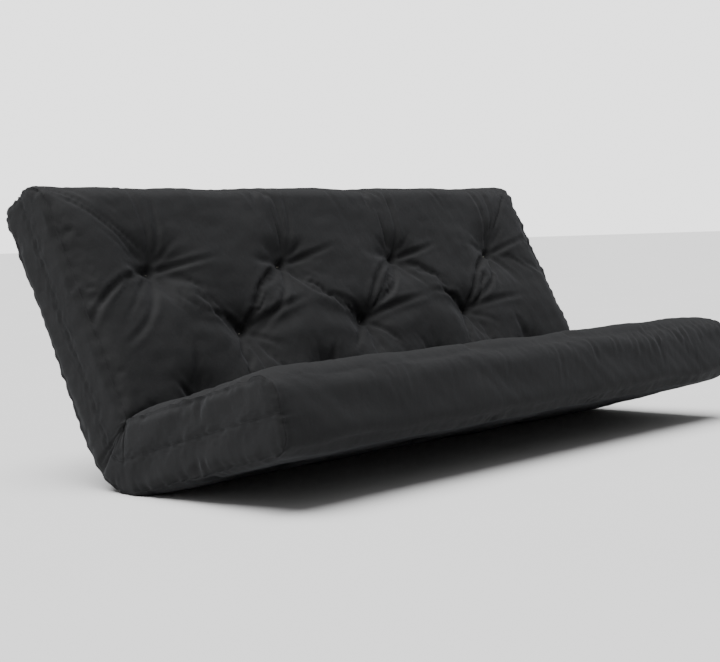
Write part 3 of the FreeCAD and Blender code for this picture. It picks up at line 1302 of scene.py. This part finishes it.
@dataclass
class Cover(SoftSlab):
    """The twill cover: filled out, drawn in at the tufts and puckered along its seams.

    Attributes:
        face_draw: how deep a tuft draws the face in.
        rear_draw: how deep a tuft draws the rear in.
        draw_width: how widely a tuft draws the cloth before it settles.
        give_width: how widely the filling gives way round a tuft.
        softness: how far the filling gives way elsewhere.
        slip: how far the cloth may slip over the filling.
        edge_slip: how far it may slip at the edges.
        edge_hold: how far from the edges the filling holds it there.
        fullness: how far the face may stand out between tufts.
        rear_fullness: how far the rear may stand out.
        end_fullness: how far the ends may stand out.
        pit: depth of the small pit that holds a tuft's stitch.
        pit_width: how wide that pit is.
        pitch: spacing of its lattice lines.
        end_radius: rounding along the two ends.
        pucker: height of the puckers along the seams.
        pucker_reach: how far from a seam they die away.
        seam_depth: how deep the seam along the middle of an end lies.
        seam_width: half the width of a seam's groove.
        welt: how far the seam round an end stands out.
        welt_groove: depth of the groove beside it.
        groove_from_welt: how far that groove is from the seam.
        swell: height of the cover's wide unevenness.
        dimples: height of its small unevenness.
        held_width: how far from a tuft the cloth is held fast.
        crown_width: not used; meant as how widely the face crowns between tufts where nothing is
            simulated.
        frames: steps of the cloth simulation.
    """

    face_draw: float = 0.036
    rear_draw: float = 0.016
    draw_width: float = 0.042
    give_width: float = 0.070
    softness: float = 0.003
    slip: float = 0.012
    edge_slip: float = 0.002
    edge_hold: float = 0.09
    fullness: float = 0.016
    rear_fullness: float = 0.007
    end_fullness: float = 0.006
    pit: float = 0.006
    pit_width: float = 0.012
    pitch: float = 0.012
    end_radius: float = 0.011
    pucker: float = 0.0019
    pucker_reach: float = 0.022
    seam_depth: float = 0.0020
    seam_width: float = 0.005
    welt: float = 0.0016
    welt_groove: float = 0.0018
    groove_from_welt: float = 0.009
    swell: float = 0.0020
    dimples: float = 0.0005
    held_width: float = 0.011
    crown_width: float = 0.09
    frames: int = 20

    def on_skin(self, flat: Array) -> Array:
        """Tells which places lie on the face or the rear, clear of the edges."""
        level = np.abs(flat[..., 2]) > self.slab.half_height - TOUCHING
        inside = np.abs(flat[..., 0]) < self.slab.half_width - TOUCHING
        return level & inside

    def settle(self, start: Array, rest: Array, quads: Array, held: Array) -> Array:
        """Lets the cloth settle under the pressure of the filling.

        Args:
            start: where the vertices begin.
            rest: the shape that the cloth was cut for.
            quads: the faces.
            held: numbers of the vertices that don't move.

        Returns:
            Where the vertices end.
        """
        mesh = bpy.data.meshes.new("cloth_at_work")
        mesh.from_pydata(start.tolist(), [], quads.tolist())
        worker = bpy.data.objects.new("cloth_at_work", mesh)
        scene = bpy.context.scene
        scene.collection.objects.link(worker)
        worker.shape_key_add(name="start")
        cut = worker.shape_key_add(name="cut")
        cut.data.foreach_set("co", rest.ravel())
        group = worker.vertex_groups.new(name="held")
        group.add(held.tolist(), 1.0, "REPLACE")
        modifier = worker.modifiers.new("cloth", "CLOTH")
        cloth = modifier.settings
        cloth.rest_shape_key = cut
        cloth.effector_weights.gravity = 0.0
        for name, value in CLOTH_SETTINGS.items():
            setattr(cloth, name, value)
        modifier.point_cache.frame_start = 1
        modifier.point_cache.frame_end = self.frames
        for step in range(1, self.frames + 1):
            scene.frame_set(step)
        graph = bpy.context.evaluated_depsgraph_get()
        settled = bpy.data.meshes.new_from_object(worker.evaluated_get(graph))
        points = np.empty(len(settled.vertices) * 3)
        settled.vertices.foreach_get("co", points)
        bpy.data.objects.remove(worker)
        bpy.data.meshes.remove(settled)
        scene.frame_set(1)
        return points.reshape(-1, 3)

    def filled(self, flat: Shell) -> Array:
        """Fills the cover out and draws it in at the tufts.

        Args:
            flat: the lattice, with (x, run, rise).

        Returns:
            A point for each vertex.
        """
        places = flat.values()
        quads, _ = flat.quads()
        base = self.shaped(places)
        normals = vertex_normals(base, quads)
        nearest = self.slab.from_tuft(places)
        skin = self.on_skin(places)
        depth = np.where(places[:, 2] > 0, self.face_draw, self.rear_draw) * skin
        drawn = self.slab.drawn(places, depth, self.draw_width)
        start = base - normals * drawn[:, None]
        room = np.where(places[:, 2] > 0, self.fullness, self.rear_fullness)
        on_end = np.abs(places[:, 0]) > self.slab.half_width - TOUCHING
        room = np.where(on_end, self.end_fullness, room)
        in_slit = (np.abs(self.face_distance(places[:, 1])) < self.slot * 0.5) & (
            places[:, 2] > self.slab.half_height - TOUCHING
        )
        held = np.nonzero((skin & (nearest < self.held_width)) | in_slit)[0]
        settled = self.settle(start, base, quads, held)
        give = self.slab.drawn(places, depth, self.give_width) + self.softness
        return self.kept_in_shape(places, base, normals, settled, room, give)

    def kept_in_shape(
        self,
        places: Array,
        base: Array,
        normals: Array,
        settled: Array,
        room: Array,
        give: Array,
    ) -> Array:
        """Keeps settled cloth near the filling that it covers.

        Args:
            places: the flat places, as (x, run, rise).
            base: the cover with no fullness.
            normals: its normals.
            settled: the cover after the simulation.
            room: how far each vertex may stand out.
            give: how far each vertex may sink in.

        Returns:
            The points after the limits.
        """
        move = settled - base
        out = (move * normals).sum(1)
        slide = move - out[:, None] * normals
        far = np.maximum(np.linalg.norm(slide, axis=1), 1e-9)
        inside = smooth_step(self.slab.from_edge(places) / self.edge_hold)
        slip = self.edge_slip + (self.slip - self.edge_slip) * inside
        slide *= (slip * np.tanh(far / slip) / far)[:, None]
        limit = np.where(out > 0, room, give)
        out = limit * np.tanh(out / limit)
        points = base + slide + normals * out[:, None]
        across = self.slab.across_crease
        side = (points - self.slab.crease) @ across
        face = places[:, 2] > 0
        on_seat = face & (self.face_distance(places[:, 1]) < 0)
        gap = self.slot_gap
        over = np.where(on_seat, np.minimum(-gap - side, 0.0), 0.0)
        over = np.where(face & ~on_seat, np.maximum(gap - side, 0.0), over)
        return points + over[:, None] * across

    def build(self) -> bpy.types.Object:
        """Builds the cover.

        Returns:
            The finished piece.
        """
        flat = self.flat_shell()
        points = self.filled(flat)
        shell = flat.with_values(points).finer()
        self.fine = flat.finer()
        quads, is_end = shell.quads()
        skin = self.detailed(self.fine.values(), shell.values(), quads)
        self.skin = shell.with_values(skin)
        corners = self.cloth_corners(self.fine, quads, is_end)
        piece = mesh_piece("cover", skin, quads, shared(TwillCloth()), corners)
        names = [n for n in frame["nodes"] if n.endswith("_panel") or "_strip_" in n]
        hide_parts(*names)
        self.slab.blend(piece)
        return piece

    def detailed(self, flat: Array, points: Array, quads: Array) -> Array:
        """Adds seams, puckers and small unevenness to the settled cover.

        Args:
            flat: places as (x, run, rise).
            points: the settled points.
            quads: the faces.

        Returns:
            The finished points.
        """
        x, run, rise = flat.T
        slab = self.slab
        normals = vertex_normals(points, quads)
        from_end = slab.half_width - np.abs(x)
        on_end = from_end < TOUCHING
        from_skin = slab.half_height - np.abs(rise)
        from_skin = np.minimum(from_skin, np.minimum(run, slab.length - run))
        seam_distance = np.where(on_end, np.minimum(from_skin, np.abs(rise)), from_end)
        fade = np.exp(-seam_distance / self.pucker_reach)
        pucker = Ripples(11, 0.034)(run, np.tanh(rise / 0.02) * 0.4 + np.sign(x) * 0.9)
        height = self.pucker * fade * pucker
        groove = np.exp(-((np.abs(rise) / self.seam_width) ** 2)) * on_end
        height -= self.seam_depth * groove
        height += self.welt * (on_end & (from_skin < TOUCHING))
        beside = np.where(on_end, from_skin, from_end) - self.groove_from_welt
        height -= self.welt_groove * np.exp(-((beside / self.seam_width) ** 2))
        height += self.swell * Ripples(5, 0.23)(x, run + 2 * rise)
        height += self.dimples * Ripples(3, 0.06)(x + rise, run)
        height += Folds(slab).height(flat)
        skin = self.on_skin(flat) & (rise > 0)
        height -= self.pit * skin * np.exp(-((slab.from_tuft(flat) / self.pit_width) ** 2))
        moved = points + normals * height[:, None]
        moved[:, 2] = np.maximum(moved[:, 2], 0.0)
        return moved


# ---------------------------------------------------------------------------
# The filling
# ---------------------------------------------------------------------------


@dataclass
class Layer(SoftSlab):
    """One layer of the filling, pressed in by the tufts.

    Attributes:
        name: name of the layer, as in the CAD nodes.
        body_slot: the record's slot of its material.
        lip_to: rise that its front and head lips reach, for a layer that wraps the core.
        core_margin: how far the core stays inside the front and the head.
        press: how deep a tuft presses the filling.
        press_width: how widely it presses.
        clearance: how far the filling stays inside the cover.
        slack: how far its edges stay inside its CAD pieces.
        corner: rounding of its edges.
        lip_gap: distance between its lip and the middle plane.
        slit: depth of the top layer's slit at the crease.
        slit_gap: half the width of that slit.
        wrap_step: length over which it thickens into its lip.
        flattened: how far it is pressed in everywhere.
        lumps: height of its unevenness.
    """

    name: str = ""
    body_slot: Slot = Slot.BATT
    lip_to: float | None = None
    core_margin: float = 0.0
    pitch: float = 0.018
    press: float = 0.040
    press_width: float = 0.080
    clearance: float = 0.011
    slack: float = 0.008
    corner: float = 0.007
    lip_gap: float = 0.001
    slit: float = 0.022
    slit_gap: float = 0.005
    wrap_step: float = 0.012
    flattened: float = 0.007
    lumps: float = 0.0012

    @classmethod
    def from_frame(cls, slab: BentSlab, name: str, slot: Slot) -> "Layer":
        """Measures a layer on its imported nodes.

        Args:
            slab: the mattress.
            name: name of the layer.
            slot: its material slot.

        Returns:
            The layer.
        """
        radii = np.linalg.norm((node_points(f"fold_{name}") - slab.crease)[:, 1:], axis=1)
        low, high = slab.half_height - radii.max(), slab.half_height - radii.min()
        wraps = slot is Slot.BATT and name != "middle_batt"
        edge = slab.seat.length - (
            reach(f"seat_{name}", slab.seat.out)[1] - float(slab.crease @ slab.seat.out)
        )
        core = slab.seat.length - (
            reach("seat_upper_foam", slab.seat.out)[1] - float(slab.crease @ slab.seat.out)
        )
        end = slab.half_width - float(node_points(f"seat_{name}")[:, 0].max())
        layer = cls(
            slab,
            low,
            high,
            edge_margin=edge + cls.slack,
            end_margin=end + cls.slack,
            face_radius=cls.corner,
            rear_radius=cls.corner,
            end_radius=cls.corner,
            slot=0.0,
            name=name,
            body_slot=slot,
        )
        if wraps:
            layer.lip_to = cls.lip_gap * np.sign(low + high)
            layer.core_margin = core
        if high > 0.9 * slab.half_height:
            layer.slot, layer.slot_gap = cls.slit, cls.slit_gap
        return layer

    def wrapped(self, flat: Array) -> Array:
        """Thickens the front and head of an outer batt, where it wraps the core.

        Args:
            flat: places as (x, run, rise).

        Returns:
            The changed places.
        """
        if self.lip_to is None:
            return flat
        outer = self.high if self.high + self.low > 0 else self.low
        inner = self.low if outer == self.high else self.high
        length = self.slab.length
        inside = np.minimum(flat[..., 1], length - flat[..., 1]) - self.core_margin
        share = 1 - smooth_step(inside / self.wrap_step + 1.0)
        stretch = 1 + share * ((outer - self.lip_to) / (outer - inner) - 1)
        changed = flat.copy()
        changed[..., 2] = outer - (outer - flat[..., 2]) * stretch
        return changed

    def pressed(self, flat: Array) -> Array:
        """Presses the layer towards the middle plane round the tufts.

        Args:
            flat: places as (x, run, rise).

        Returns:
            The changed places.
        """
        half = self.slab.half_height
        changed = flat.copy()
        level = np.clip(flat[..., 2] / half, -1.0, 1.0)
        depth = np.where(level > 0, self.press, 0.5 * self.press)
        drawn = self.slab.drawn(flat, depth, self.press_width) + self.flattened
        changed[..., 2] = flat[..., 2] - np.sign(level) * np.abs(level) ** 1.5 * drawn
        return changed

    def contained(self, flat: Array) -> Array:
        """Keeps the layer inside the cover's rounded edges.

        Args:
            flat: places as (x, run, rise).

        Returns:
            The changed places.
        """
        half, length = self.slab.half_height, self.slab.length
        radius = np.where(flat[..., 2] > 0, Cover.face_radius, Cover.rear_radius)
        core_run = np.clip(flat[..., 1], radius, length - radius)
        core_rise = np.clip(flat[..., 2], radius - half, half - radius)
        off_run, off_rise = flat[..., 1] - core_run, flat[..., 2] - core_rise
        away = np.maximum(np.hypot(off_run, off_rise), 1e-9)
        share = np.minimum(1.0, (radius - self.clearance) / away)
        changed = flat.copy()
        changed[..., 1] = core_run + off_run * share
        changed[..., 2] = core_rise + off_rise * share
        return changed

    def build(self) -> bpy.types.Object:
        """Builds the layer.

        Returns:
            The finished piece.
        """
        flat = self.flat_shell()
        quads, is_end = flat.quads()
        places = self.wrapped(self.rounded(flat.values()))
        places = self.contained(self.pressed(places))
        points = self.slab.place(places[:, 0], places[:, 1], places[:, 2])
        points = self.creased(flat.values(), points)
        uneven = self.lumps * Ripples(len(self.name), 0.09)(places[:, 0], places[:, 1])
        points = points + vertex_normals(points, quads) * uneven[:, None]
        finish = CottonFelt() if self.body_slot is Slot.BATT else OpenFoam()
        corners = self.cloth_corners(flat, quads, is_end)
        piece = mesh_piece(self.name, points, quads, shared(finish), corners)
        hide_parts(*(f"{body}_{self.name}" for body in ("seat", "fold", "back")))
        self.slab.blend(piece)
        return piece


LAYERS = {
    "top_batt": Slot.BATT,
    "upper_foam": Slot.FOAM,
    "middle_batt": Slot.BATT,
    "lower_foam": Slot.FOAM,
    "bottom_batt": Slot.BATT,
}


# ---------------------------------------------------------------------------
# Tufts
# ---------------------------------------------------------------------------


def frames_along(path: Array) -> tuple[Array, Array, Array]:
    """Carries two crosswise directions along a path without twisting them.

    Args:
        path: points along the path.

    Returns:
        At each point, unit vectors along the path, to one side and across both.
    """
    ways = np.gradient(path, axis=0)
    ways /= np.linalg.norm(ways, axis=1, keepdims=True)
    side = np.cross(ways[0], ANY_WAY)
    sides = []
    for way in ways:
        side = side - way * float(side @ way)
        side /= np.linalg.norm(side)
        sides.append(side)
    return ways, np.array(sides), np.cross(ways, sides)


def tube(path: Array, width: float, sides: int = 8) -> tuple[Array, list[list[int]]]:
    """Makes a closed round tube along a path.

    Args:
        path: points along the middle.
        width: its diameter.
        sides: faces round it.

    Returns:
        Its vertices and faces.
    """
    ways, right, over = frames_along(path)
    angles = np.arange(sides) * 2 * math.pi / sides
    circles = np.cos(angles)[:, None] * right[:, None] + np.sin(angles)[:, None] * over[:, None]
    rings = (path[:, None] + circles * width / 2).reshape(-1, 3)
    tips = [path[:1] - ways[:1] * width / 4, path[-1:] + ways[-1:] * width / 4]
    count = len(path)
    points = np.concatenate([rings, *tips])
    first, last = count * sides, count * sides + 1
    faces = []
    for ring in range(count - 1):
        low, high = ring * sides, (ring + 1) * sides
        for i in range(sides):
            j = (i + 1) % sides
            faces.append([low + i, low + j, high + j, high + i])
    for i in range(sides):
        j = (i + 1) % sides
        faces.append([first, j, i])
        faces.append([last, (count - 1) * sides + i, (count - 1) * sides + j])
    return points, faces


def twisted(path: Array, width: float, lay: float, plies: int = 2) -> list[Array]:
    """Winds plies round a path, as in twine.

    Args:
        path: points along the middle.
        width: diameter of the twine.
        lay: length of one full turn.
        plies: number of plies.

    Returns:
        The middle line of each ply.
    """
    steps = np.linalg.norm(np.diff(path, axis=0), axis=1)
    along = np.concatenate([[0.0], np.cumsum(steps)])
    count = max(6, int(along[-1] / lay * 10))
    at = np.linspace(0.0, along[-1], count)
    line = np.stack([np.interp(at, along, path[:, i]) for i in range(3)], axis=1)
    _, right, over = frames_along(line)
    lines = []
    for ply in range(plies):
        angle = 2 * math.pi * (at / lay + ply / plies)[:, None]
        lines.append(line + (right * np.cos(angle) + over * np.sin(angle)) * width / 4)
    return lines


@dataclass
class Parts:
    """Meshes that are being gathered into one piece."""

    points: list[Array] = field(default_factory=list)
    faces: list[list[int]] = field(default_factory=list)
    count: int = 0

    def add(self, points: Array, faces: Sequence[Sequence[int]]) -> None:
        """Adds a mesh."""
        self.points.append(points)
        self.faces.extend([[i + self.count for i in face] for face in faces])
        self.count += len(points)

    def add_twine(self, path: Array, width: float) -> None:
        """Adds a length of two-ply twine."""
        for line in twisted(path, width, 3.2 * width):
            self.add(*tube(line, 0.56 * width))

    def piece(self, name: str, material: bpy.types.Material) -> bpy.types.Object:
        """Makes the gathered meshes into a piece."""
        return mesh_piece(name, np.concatenate(self.points), self.faces, material)


@dataclass
class TuftRow:
    """One row of tufts: twine through the filling, stitches on the face, knots behind.

    Attributes:
        slab: the mattress.
        cover: the finished cover.
        number: the row, counted from the head.
        twine: diameter of the twine.
        span: width of the stitch on the face.
        tail: length of the ends left at a knot.
        sunk: how far a stitch sinks into the cloth.
        arch: how far a stitch rises between its ends.
        foot: how far its ends run back into the filling.
        loop: size of a knot's loops.
        crossing: how far its strands rise where they cross.
        knot_height: height of its middle above the cloth.
    """

    slab: BentSlab
    cover: Cover
    number: int
    twine: float = 0.003
    span: float = 0.008
    tail: float = 0.022
    sunk: float = 0.0024
    arch: float = 0.0012
    foot: float = 0.008
    loop: float = 0.0021
    crossing: float = 0.0016
    knot_height: float = 0.004

    def skin_point(self, x: float, run: float, side: Side) -> tuple[Array, Array]:
        """Finds where a tuft meets the cover.

        Args:
            x: place across.
            run: place along.
            side: face or rear.

        Returns:
            The point on the cover and the direction out of the mattress there.
        """
        flat, skin = self.cover.fine.values(), self.cover.skin.values()
        level = side.value * self.slab.half_height
        away = np.hypot(flat[:, 0] - x, flat[:, 1] - run) + 9.0 * np.abs(flat[:, 2] - level)
        nearest = np.argsort(away)[:5]
        leg = self.slab.back if run > self.slab.bend_end else self.slab.seat
        return skin[nearest].mean(0), leg.up * side.value

    def stitch(self, point: Array, up: Array) -> Array:
        """Gives the path of a stitch: up out of the cloth, across and down again."""
        angles = np.linspace(0.0, math.pi, 13)[:, None]
        half = RIGHT * self.span / 2
        point = point - up * self.sunk
        arch = point - half * np.cos(angles) + up * self.arch * np.sin(angles)
        foot = up * self.foot
        return np.concatenate([[point - half - foot], arch, [point + half - foot]])

    def knot(self, point: Array, up: Array, leg: Leg) -> Array:
        """Gives the path of an overhand knot with two loose ends."""
        turns = np.linspace(0.35, 2 * math.pi - 0.1, 46)
        across = self.loop * (np.sin(turns) + 2 * np.sin(2 * turns))
        along = self.loop * (np.cos(turns) - 2 * np.cos(2 * turns))
        over = -self.crossing * np.sin(3 * turns)
        middle = point + up * self.knot_height
        path = middle + np.outer(across, RIGHT) + np.outer(along, leg.out) + np.outer(over, up)
        low = point + up * self.twine * 0.7
        first = path[0] + (RIGHT * 0.8 + leg.out * 0.6) * self.tail
        last = path[-1] + (-RIGHT * 0.9 + leg.out * 0.4) * self.tail
        first += up * float((low - first) @ up)
        last += up * float((low - last) @ up)
        return np.concatenate([[first], path, [last]])

    def build(self) -> list[bpy.types.Object]:
        """Builds the row.

        Returns:
            Its twines, stitches and knots.
        """
        twines, stitches, knots = Parts(), Parts(), Parts()
        for x, run in self.slab.tuft_rows[self.number]:
            face, up = self.skin_point(x, run, Side.FACE)
            rear, down = self.skin_point(x, run, Side.REAR)
            leg = self.slab.back if run > self.slab.bend_end else self.slab.seat
            offset = RIGHT * (self.span / 2 - 0.001)
            for way in (-1.0, 1.0):
                start, end = face + way * offset - up * self.foot, rear + up * 0.001
                twines.add_twine(np.linspace(start, end, 24), self.twine * 0.8)
            stitches.add_twine(self.stitch(face, up), self.twine)
            knots.add_twine(self.knot(rear, down, leg), self.twine)
        made = []
        for kind, parts in {"twines": twines, "stitches": stitches, "knots": knots}.items():
            node = f"tuft_{kind}_row_{self.number}"
            piece = parts.piece(f"{kind}_row_{self.number}", shared(WaxedTwine()))
            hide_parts(node)
            if self.number in (3, 4):
                self.slab.blend(piece)
            else:
                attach(piece, "back" if self.number < 3 else "seat")
            made.append(piece)
        return made


# ---------------------------------------------------------------------------
# Seams
# ---------------------------------------------------------------------------


STITCH_INPUTS = {
    "Path": "Geometry",
    "Pitch": "Float",
    "Length": "Float",
    "Width": "Float",
    "Seed": "Int",
    "Thread": "Material",
}


@dataclass
class SeamStitches:
    """Rows of thread stitches along the cover's seams, repeated by a node tree.

    Attributes:
        cover: the finished cover.
        pitch: distance from one stitch to the next.
        length: length of one stitch.
        width: thickness of the thread.
        uneven: least and greatest share of that length.
    """

    cover: Cover
    pitch: float = 0.0050
    length: float = 0.0034
    width: float = 0.0009
    uneven: tuple[float, float] = (0.85, 1.12)

    def tree(self) -> bpy.types.NodeTree:
        """Makes the node tree that lays stitches along a path."""
        tree = bpy.data.node_groups.new("seam_stitches", "GeometryNodeTree")
        for name, kind in STITCH_INPUTS.items():
            tree.interface.new_socket(name, in_out="INPUT", socket_type=f"NodeSocket{kind}")
        tree.interface.new_socket(
            "Stitches", in_out="OUTPUT", socket_type="NodeSocketGeometry"
        )
        new = tree.nodes.new
        given, result = new("NodeGroupInput"), new("NodeGroupOutput")
        curve, spaced = new("GeometryNodeMeshToCurve"), new("GeometryNodeResampleCurve")
        tangent, turn = new("GeometryNodeInputTangent"), new("FunctionNodeAlignRotationToVector")
        ball, size = new("GeometryNodeMeshUVSphere"), new("ShaderNodeCombineXYZ")
        uneven, scaled = new("FunctionNodeRandomValue"), new("ShaderNodeMath")
        placed, real = new("GeometryNodeInstanceOnPoints"), new("GeometryNodeRealizeInstances")
        dressed = new("GeometryNodeSetMaterial")
        spaced.mode, turn.axis = "LENGTH", "Z"
        uneven.data_type, scaled.operation = "FLOAT", "MULTIPLY"
        for name, value in {"Segments": 6, "Rings": 5, "Radius": 0.5}.items():
            ball.inputs[name].default_value = value
        uneven.inputs[2].default_value, uneven.inputs[3].default_value = self.uneven
        for source, output, target, entry in (
            (given, "Path", curve, 0),
            (curve, 0, spaced, "Curve"),
            (given, "Pitch", spaced, "Length"),
            (tangent, 0, turn, "Vector"),
            (given, "Seed", uneven, "Seed"),
            (given, "Length", scaled, 0),
            (uneven, 1, scaled, 1),
            (given, "Width", size, "X"),
            (given, "Width", size, "Y"),
            (scaled, 0, size, "Z"),
            (spaced, 0, placed, "Points"),
            (ball, 0, placed, "Instance"),
            (turn, 0, placed, "Rotation"),
            (size, 0, placed, "Scale"),
            (placed, 0, real, 0),
            (real, 0, dressed, "Geometry"),
            (given, "Thread", dressed, "Material"),
            (dressed, 0, result, 0),
        ):
            tree.links.new(source.outputs[output], target.inputs[entry])
        return tree

    def paths(self, side: int) -> list[Array]:
        """Gives the seams of one end.

        Args:
            side: 0 for the left end, 1 for the right.

        Returns:
            Points along the border seam and along the middle seam.
        """
        skin = self.cover.skin
        quads, _ = skin.quads()
        normals = skin.with_values(vertex_normals(skin.values(), quads))
        lift = self.width * 0.3
        column = -side
        border = skin.wrap[:, column] + normals.wrap[:, column] * lift
        middle_line = skin.faces_up // 2
        middle = skin.ends[side][:, middle_line] + normals.ends[side][:, middle_line] * lift
        return [np.concatenate([border, border[:1]]), middle]

    def build(self) -> list[bpy.types.Object]:
        """Builds the stitches of both ends.

        Returns:
            One piece for each end.
        """
        tree = self.tree()
        made = []
        for side, name in enumerate(("left", "right")):
            mesh = bpy.data.meshes.new(f"seam_path_{name}")
            lines = self.paths(side)
            edges, start = [], 0
            for line in lines:
                edges += [(start + i, start + i + 1) for i in range(len(line) - 1)]
                start += len(line)
            mesh.from_pydata(np.concatenate(lines).tolist(), edges, [])
            piece = bpy.data.objects.new(f"seam_stitches_{name}", mesh)
            bpy.context.scene.collection.objects.link(piece)
            modifier = piece.modifiers.new("stitches", "NODES")
            modifier.node_group = tree
            values = {
                "Pitch": self.pitch,
                "Length": self.length,
                "Width": self.width,
                "Seed": side + 1,
                "Thread": shared(SeamThread()),
            }
            for item in tree.interface.items_tree:
                if item.name in values:
                    modifier[item.identifier] = values[item.name]
            graph = bpy.context.evaluated_depsgraph_get()
            made_mesh = bpy.data.meshes.new_from_object(piece.evaluated_get(graph))
            piece.modifiers.remove(modifier)
            piece.data = made_mesh
            made_mesh.shade_smooth()
            self.cover.slab.blend(piece)
            made.append(piece)
        return made


# ---------------------------------------------------------------------------
# Camera, light and floor
# ---------------------------------------------------------------------------


@dataclass(frozen=True)
class Viewpoint:
    """Where the camera stands, in degrees where it turns."""

    place: tuple[float, float, float] = (-3.0962, -2.7409, 0.6072)
    heading: float = 47.961
    pitch: float = -3.852
    roll: float = -1.812
    lens: float = 73.06
    shift: float = -0.0417

    def set_up(self) -> None:
        """Makes the camera and gives it to the scene."""
        data = bpy.data.cameras.new("viewpoint")
        data.lens = self.lens
        data.sensor_width = 36.0
        data.shift_x = self.shift
        data.clip_end = 100.0
        heading, pitch = math.radians(self.heading), math.radians(self.pitch)
        ahead = Vector(
            (
                math.sin(heading) * math.cos(pitch),
                math.cos(heading) * math.cos(pitch),
                math.sin(pitch),
            )
        )
        right = Vector((math.cos(heading), -math.sin(heading), 0.0))
        right.rotate(Matrix.Rotation(math.radians(-self.roll), 3, ahead))
        up = right.cross(ahead)
        turn = Matrix((right, up, -ahead)).transposed().to_4x4()
        camera = bpy.data.objects.new("viewpoint", data)
        camera.matrix_world = Matrix.Translation(self.place) @ turn
        bpy.context.scene.collection.objects.link(camera)
        bpy.context.scene.camera = camera


@dataclass(frozen=True)
class Lamp:
    """A very wide soft lamp, far away.

    Attributes:
        name: name of the lamp.
        way: direction from the mattress to the lamp.
        spread: how wide it looks, in degrees.
        strength: its light on a surface that faces it.
    """

    name: str
    way: tuple[float, float, float]
    spread: float
    strength: float

    def set_up(self) -> None:
        """Makes the lamp."""
        data = bpy.data.lights.new(self.name, "SUN")
        data.angle = math.radians(self.spread)
        data.energy = self.strength
        lamp = bpy.data.objects.new(self.name, data)
        lamp.location = Vector(self.way) * 5.0
        lamp.rotation_euler = Vector(self.way).to_track_quat("Z", "Y").to_euler()
        bpy.context.scene.collection.objects.link(lamp)


@dataclass(frozen=True)
class Studio:
    """A pale room with soft light.

    Attributes:
        lamps: its lamps.
        floor_size: width of the floor.
        sky: strength of the light from all round.
        backdrop: how bright the room looks behind the mattress.
    """

    lamps: tuple[Lamp, ...] = (
        Lamp("ceiling_lamp", (-0.25, 0.05, 1.0), 55.0, 8.2),
        Lamp("side_lamp", (-1.0, -0.5, 0.8), 50.0, 0.3),
    )
    floor_size: float = 400.0
    sky: float = 0.25
    backdrop: float = 2.4

    def set_up(self) -> None:
        """Makes the floor, the lamps and the sky."""
        half = self.floor_size / 2
        corners = [(-half, -half, 0), (half, -half, 0), (half, half, 0), (-half, half, 0)]
        floor = mesh_piece("floor", np.array(corners), [(0, 1, 2, 3)], PaleFloor().material())
        for lamp in self.lamps:
            lamp.set_up()
        world = bpy.data.worlds.new("studio")
        world.use_nodes = True
        tree = world.node_tree
        path = tree.nodes.new("ShaderNodeLightPath")
        either = tree.nodes.new("ShaderNodeMixShader")
        tree.links.new(path.outputs["Is Camera Ray"], either.inputs[0])
        for entry, strength in ((1, self.sky), (2, self.backdrop)):
            background = tree.nodes.new("ShaderNodeBackground")
            background.inputs["Color"].default_value = (1.0, 1.0, 1.0, 1.0)
            background.inputs["Strength"].default_value = strength
            tree.links.new(background.outputs[0], either.inputs[entry])
        tree.links.new(either.outputs[0], tree.nodes["World Output"].inputs["Surface"])
        bpy.context.scene.world = world


def report(pieces: Iterable[bpy.types.Object]) -> None:
    """Logs each piece with its number of faces."""
    for piece in pieces:
        LOG.info("%s: %d faces", piece.name, len(piece.data.polygons))


def main() -> None:
    """Builds the mattress and its surroundings."""
    logging.basicConfig(level=logging.INFO, format="%(name)s: %(message)s")
    Studio().set_up()
    Viewpoint().set_up()
    slab = BentSlab.from_frame()
    LOG.info("slab %s", slab)
    half = slab.half_height
    cover = Cover(slab, -half, half)
    report([cover.build()])
    for name, slot in LAYERS.items():
        report([Layer.from_frame(slab, name, slot).build()])
    for number in slab.tuft_rows:
        report(TuftRow(slab, cover, number).build())
    report(SeamStitches(cover).build())


if __name__ == "__main__":
    main()
